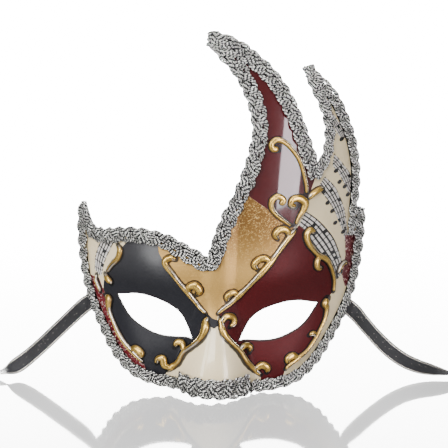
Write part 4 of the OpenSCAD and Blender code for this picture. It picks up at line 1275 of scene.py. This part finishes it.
def braid_tree():
    """Strands of parallel cords that cross over and under each other along a path."""
    n = Nodes("gimp_braid", [
        ("Half Width", "Float", 0.004), ("Pitch", "Float", 0.0086), ("Strands", "Int", 3),
        ("Cords", "Int", 4), ("Cord Radius", "Float", 0.0005), ("Rise", "Float", 0.0007),
        ("Lift", "Float", 0.0013), ("Step", "Float", 0.0007), ("Stray", "Float", 0.0002),
        ("Core Cords", "Int", 4), ("Material", "Material", None)])
    g = n.given
    path = n.node("GeometryNodeMeshToCurve", {"Mesh": g["Geometry"]}).outputs[0]
    full = n.node("GeometryNodeCurveLength", {"Curve": path}).outputs[0]
    count = n.math("DIVIDE", full, g["Step"])
    line = n.node("GeometryNodeCurvePrimitiveLine", {"End": (1.0, 0.0, 0.0)}).outputs[0]
    line = n.node("GeometryNodeResampleCurve", {"Curve": line, "Count": count}).outputs[0]
    share = n.node("GeometryNodeSplineParameter").outputs["Factor"]
    run = n.math("MULTIPLY", share, full)
    wander = n.node("ShaderNodeTexNoise", {"Scale": 1.0, "Detail": 1.0}, noise_dimensions="2D")
    sampled = n.along_path(path, "across", run)
    across = n.vector("NORMALIZE", sampled.outputs[0])
    up = n.vector("NORMALIZE", n.along_path(path, "up", run).outputs[0])
    position = sampled.outputs["Position"]
    shape = n.node("ShaderNodeSeparateXYZ", {0: n.along_path(path, "bow", run).outputs[0]}).outputs
    bow = shape[0]
    half = n.math("MULTIPLY", g["Half Width"], shape[1])

    def laid(cords, side, height, number):
        """Moves the cords across and over the path, each with its own start of twist."""
        bend = n.math("MULTIPLY", bow, n.math("MULTIPLY", side, side))
        spot = n.vector("ADD", position, n.vector("SCALE", across, scale=side))
        spot = n.vector("ADD", spot, n.vector("SCALE", up, scale=n.math("ADD", height, bend)))
        moved = n.node("GeometryNodeSetPosition", {"Geometry": cords, "Position": spot}).outputs[0]
        start = n.math("MULTIPLY", number, TWIST * 0.44)
        return n.store(moved, "run", n.math("ADD", n.math("MULTIPLY", run, 1 / MM), start))

    total = n.math("MULTIPLY", g["Strands"], g["Cords"])
    copies = n.node("GeometryNodeDuplicateElements", {"Geometry": line, "Amount": total}, domain="SPLINE")
    index = copies.outputs["Duplicate Index"]
    strand = n.math("FLOOR", n.math("DIVIDE", n.math("ADD", index, 0.5), g["Cords"]))
    cord = n.math("SUBTRACT", index, n.math("MULTIPLY", strand, g["Cords"]))
    middle = n.math("MULTIPLY", n.math("SUBTRACT", g["Cords"], 1.0), 0.5)
    off = n.math("SUBTRACT", cord, middle)
    where = {0: n.math("MULTIPLY", run, 260.0), 1: n.math("MULTIPLY", index, 3.7)}
    spot = n.node("ShaderNodeCombineXYZ", where).outputs[0]
    n.tree.links.new(spot, wander.inputs["Vector"])
    stray = n.math("MULTIPLY", n.math("SUBTRACT", wander.outputs[0], 0.5), g["Stray"])
    cycle = n.math("MULTIPLY", g["Pitch"], g["Strands"])
    turns = n.math("ADD", n.math("DIVIDE", run, cycle), n.math("DIVIDE", strand, g["Strands"]))
    turn = n.math("MULTIPLY", turns, 2 * math.pi)
    spread_by = n.math("DIVIDE", n.math("MULTIPLY", g["Cord Radius"], 2 * math.pi * 2.7), cycle)
    swing = n.math("COSINE", n.math("ADD", turn, n.math("MULTIPLY", off, spread_by)))
    nested = n.math("SUBTRACT", 1.0, n.math("MULTIPLY", n.math("ABSOLUTE", off), 0.12))
    swung = n.math("MULTIPLY", n.math("MULTIPLY", swing, nested), half)
    side = n.math("ADD", swung, n.math("MULTIPLY", stray, 2.0))
    over = n.math("SINE", n.math("MULTIPLY", turn, n.math("SUBTRACT", g["Strands"], 1.0)))
    height = n.math("ADD", n.math("ADD", n.math("MULTIPLY", over, g["Rise"]), g["Lift"]), stray)
    strands = laid(copies.outputs[0], side, height, index)

    core_inputs = {"Geometry": line, "Amount": g["Core Cords"]}
    core = n.node("GeometryNodeDuplicateElements", core_inputs, domain="SPLINE")
    place = n.math("DIVIDE", n.math("ADD", core.outputs["Duplicate Index"], 0.5), g["Core Cords"])
    core_share = n.math("SUBTRACT", n.math("MULTIPLY", place, 2.0), 1.0)
    core_side = n.math("MULTIPLY", core_share, n.math("MULTIPLY", half, 0.8))
    core_wave = n.math("ADD", n.math("MULTIPLY", run, 2400.0), n.math("MULTIPLY", place, 9.0))
    core_up = n.math("MULTIPLY", n.math("SINE", core_wave), g["Rise"])
    core_height = n.math("ADD", n.math("MULTIPLY", core_up, 0.4), n.math("MULTIPLY", g["Lift"], 0.8))
    cores = laid(core.outputs[0], core_side, core_height, place)

    ring_inputs = {"Resolution": CORD_SIDES, "Radius": g["Cord Radius"]}
    ring_curve = n.node("GeometryNodeCurvePrimitiveCircle", ring_inputs).outputs[0]
    angle = n.math("MULTIPLY", n.node("GeometryNodeInputIndex").outputs[0], 2 * math.pi / CORD_SIDES)
    ring_curve = n.store(ring_curve, "around_cos", n.math("COSINE", angle))
    ring_curve = n.store(ring_curve, "around_sin", n.math("SINE", angle))
    joined = n.node("GeometryNodeJoinGeometry")
    n.tree.links.new(strands, joined.inputs[0])
    n.tree.links.new(cores, joined.inputs[0])
    sweep = {"Curve": joined.outputs[0], "Profile Curve": ring_curve, "Fill Caps": True}
    body = n.node("GeometryNodeCurveToMesh", sweep).outputs[0]
    body = n.node("GeometryNodeSetShadeSmooth", {"Geometry": body}).outputs[0]
    body = n.node("GeometryNodeRealizeInstances", {"Geometry": body}).outputs[0]
    body = n.node("GeometryNodeSetMaterial", {"Geometry": body, "Material": g["Material"]}).outputs[0]
    n.tree.links.new(body, n.out[0])
    return n


def braid_path(edge, width, free, side):
    """The braid's middle line over the shell's edge, with its directions across and up."""
    line = curve(edge, 8)
    lengths = run_lengths(np.stack([line[:, 0], skin(line[:, 0], line[:, 1]), line[:, 1]], 1))
    at = np.linspace(free[0], lengths[-1] - free[1], int((lengths[-1] - sum(free)) / 1.2) + 1)
    x, z = (np.interp(at, lengths, line[:, i]) for i in range(2))
    kernel = np.ones(5) / 5
    flat = np.stack([x, skin(x, z), z], 1)
    ahead = np.gradient(flat, axis=0)
    padded_ahead = np.pad(ahead, ((2, 2), (0, 0)), mode="edge")
    ahead = unit(np.stack([np.convolve(padded_ahead[:, i], kernel, "valid") for i in range(3)], 1))
    across = side * unit(np.cross(skin_normal(x, z), ahead))
    share = np.interp(z, *zip(*SIDE_SHARES)) if edge in (RIGHT_EDGE, LEFT_EDGE) else np.ones(len(z))
    middle = width * share / 2 - BRAID_OVERHANG
    x, z = x + across[:, 0] * middle, z + across[:, 2] * middle
    normal = skin_normal(x, z)
    points = over_skin(x, z, np.full(len(x), GLUE))
    reach = width * 0.42
    drop = [np.sum((over_skin(x + s * across[:, 0] * reach, z + s * across[:, 2] * reach,
                              np.full(len(x), GLUE)) - points) * normal, 1) for s in (-1, 1)]
    bow = np.mean(drop, 0) / reach ** 2 / MM
    return stand(points), turned(across), turned(normal), np.stack([bow, share, share], 1)


# The second plume's outer braid runs on over the notch and under the side braid.
TEMPLE_RUN = [[81.6, 111], [81.2, 103], [81, 93]]
# The two braids that meet between the plumes run on over each other, past the foot of the gap.
PLUME_RUN = [[SECOND_VALLEY[0] + 1.8, SECOND_VALLEY[1] - 5]]
SECOND_RUN = [[SECOND_VALLEY[0] - 3, SECOND_VALLEY[1] - 4.5]]
# The side braids are pressed flatter and wider round the temples.
SIDE_SPREAD = 1.8
# Share of a side braid's width at a height: it narrows towards the nose.
SIDE_SHARES = [[8, 0.66], [40, 0.62], [60, 0.72], [82, 1], [102, 1], [110, 1.15]]
BRAIDS = {
    "braid_brow": (BROW_EDGE + PLUME_LEFT_EDGE[1:], BRAID_W, (2.5, 3), -1),
    "braid_plume_right": (PLUME_RIGHT_EDGE + PLUME_RUN, BRAID_W, (1, 0.5), -1),
    "braid_second_plume_inner": (SECOND_RUN + SECOND_INNER_EDGE, SECOND_BRAID_W, (0.5, 1), -1),
    "braid_second_plume_outer": (SECOND_OUTER_EDGE[:-1] + TEMPLE_RUN, SECOND_BRAID_W, (4, 0), -1),
    "braid_right_side": (RIGHT_EDGE, BRAID_W + SIDE_SPREAD, (0.5, 28.5), -1),
    "braid_left_side": (LEFT_EDGE, BRAID_W + SIDE_SPREAD, (0.5, 28.5), 1),
    "braid_nose": (NOSE_EDGE, NOSE_BRAID_W, (0, 0), 1),
}
# How far the scallops stand out past the braid's CAD width.
SCALLOP_OUT = 0.7
# A braid is three strands of parallel cords, over a few cords that run along its middle.
STRANDS, CORDS, NOSE_CORDS, CORE_CORDS = 3, 4, 6, 4
CORD_RADIUS, CORD_RISE, CORD_LIFT, CORD_STEP, CORD_STRAY = 0.56, 0.85, 1.35, 0.6, 0.75


def make_braid(name, edge, width, free, side, tree):
    points, across, up, bow = braid_path(edge, width, free, side)
    mesh = bpy.data.meshes.new(name + "_path")
    mesh.from_pydata((points * MM).tolist(), [(i, i + 1) for i in range(len(points) - 1)], [])
    for key, values in (("across", across), ("up", up), ("bow", bow)):
        layer = mesh.attributes.new(key, "FLOAT_VECTOR", "POINT")
        layer.data.foreach_set("vector", values.astype(np.float32).ravel())
    base = bpy.data.objects.new(name + "_path", mesh)
    bpy.context.scene.collection.objects.link(base)
    modifier = base.modifiers.new("gimp", "NODES")
    modifier.node_group = tree.tree
    sizes = {"Half Width": (width / 2 + SCALLOP_OUT - CORD_RADIUS) * MM, "Pitch": SCALLOP_PITCH * MM,
             "Strands": STRANDS, "Cords": CORDS if width < NOSE_BRAID_W else NOSE_CORDS,
             "Cord Radius": CORD_RADIUS * MM, "Rise": CORD_RISE * MM, "Lift": CORD_LIFT * MM,
             "Step": CORD_STEP * MM, "Stray": CORD_STRAY * MM, "Core Cords": CORE_CORDS, "Material": CORD}
    for key, value in sizes.items():
        modifier[tree.ids[key]] = value
    bpy.context.view_layer.update()
    ready = base.evaluated_get(bpy.context.evaluated_depsgraph_get())
    made = bpy.data.meshes.new_from_object(ready)
    bpy.data.objects.remove(base)
    piece = bpy.data.objects.new(name + "_gimp", made)
    bpy.context.scene.collection.objects.link(piece)
    finish_piece(piece, "metallic_braid", name)


CORD = metallic_cord()
BRAID_TREE = braid_tree()
for braid_name, (braid_edge, braid_width, braid_free, braid_side) in BRAIDS.items():
    make_braid(braid_name, braid_edge, braid_width, braid_free, braid_side, BRAID_TREE)


# ---- Floor, backdrop and light ----
AMBIENT, BACKDROP = 0.28, 46.0


def make_stage():
    """A white glossy table that runs on into a white backdrop."""
    material, p, shader = new_material("white_acrylic_table", {
        "Base Color": (0.3, 0.3, 0.3), "Roughness": 0.05, "Emission Color": (1, 1, 1)})
    camera_ray = p.node("ShaderNodeLightPath").outputs["Is Camera Ray"]
    p.put(shader.inputs["Emission Strength"], p.math("MULTIPLY", camera_ray, 0.5))
    mesh = bpy.data.meshes.new("table")
    size = 4
    corners = [(-size, -size, 0), (size, -size, 0), (size, size, 0), (-size, size, 0)]
    mesh.from_pydata(corners, [], [(0, 1, 2, 3)])
    mesh.materials.append(material)
    table = bpy.data.objects.new("table", mesh)
    bpy.context.scene.collection.objects.link(table)


def make_world():
    """Soft light all round, and a bright white backdrop behind the mask, low over the table."""
    world = bpy.data.worlds.new("studio")
    world.use_nodes = True
    p = Paint(world.node_tree)
    background = world.node_tree.nodes["Background"]
    background.inputs["Color"].default_value = (1, 1, 1, 1)
    toward = p.node("ShaderNodeSeparateXYZ", {0: p.node("ShaderNodeTexCoord").outputs["Generated"]}).outputs
    behind = p.math("MULTIPLY", p.ramp(toward[1], 0.75, 0.9), p.ramp(toward[2], 0.3, 0.45, 1.0, 0.0))
    diffuse_ray = p.node("ShaderNodeLightPath").outputs["Is Diffuse Ray"]
    seen = p.blend(behind, AMBIENT, BACKDROP)
    p.put(background.inputs["Strength"], p.blend(diffuse_ray, seen, AMBIENT))
    bpy.context.scene.world = world


def make_light(name, place, aim, size, power, colour=(1, 1, 1), shine_only=False):
    data = bpy.data.lights.new(name, "AREA")
    data.shape = "RECTANGLE"
    data.size, data.size_y = size
    data.energy = power
    data.color = colour
    light = bpy.data.objects.new(name, data)
    light.location = place
    light.visible_camera = False
    light.visible_diffuse = not shine_only
    light.rotation_euler = (Vector(aim) - Vector(place)).to_track_quat("-Z", "Y").to_euler()
    bpy.context.scene.collection.objects.link(light)


make_stage()
make_world()
AIM = (0, 0, 0.1)
make_light("soft_front", (-0.3, -1.3, 0.9), AIM, (0.8, 0.5), 26)
make_light("strip_left", (-0.8, -0.85, 0.5), AIM, (0.3, 0.8), 12)
make_light("strip_right", (0.85, -0.75, 0.45), AIM, (0.12, 0.9), 1.5, (1, 0.97, 1))
make_light("plume_window", (0.47, -0.51, 0.17), (0.03, 0, 0.13), (0.24, 0.3), 5, (1, 0.93, 0.99), True)
make_light("overhead", (0.1, -0.1, 1.15), AIM, (0.9, 0.6), 15)
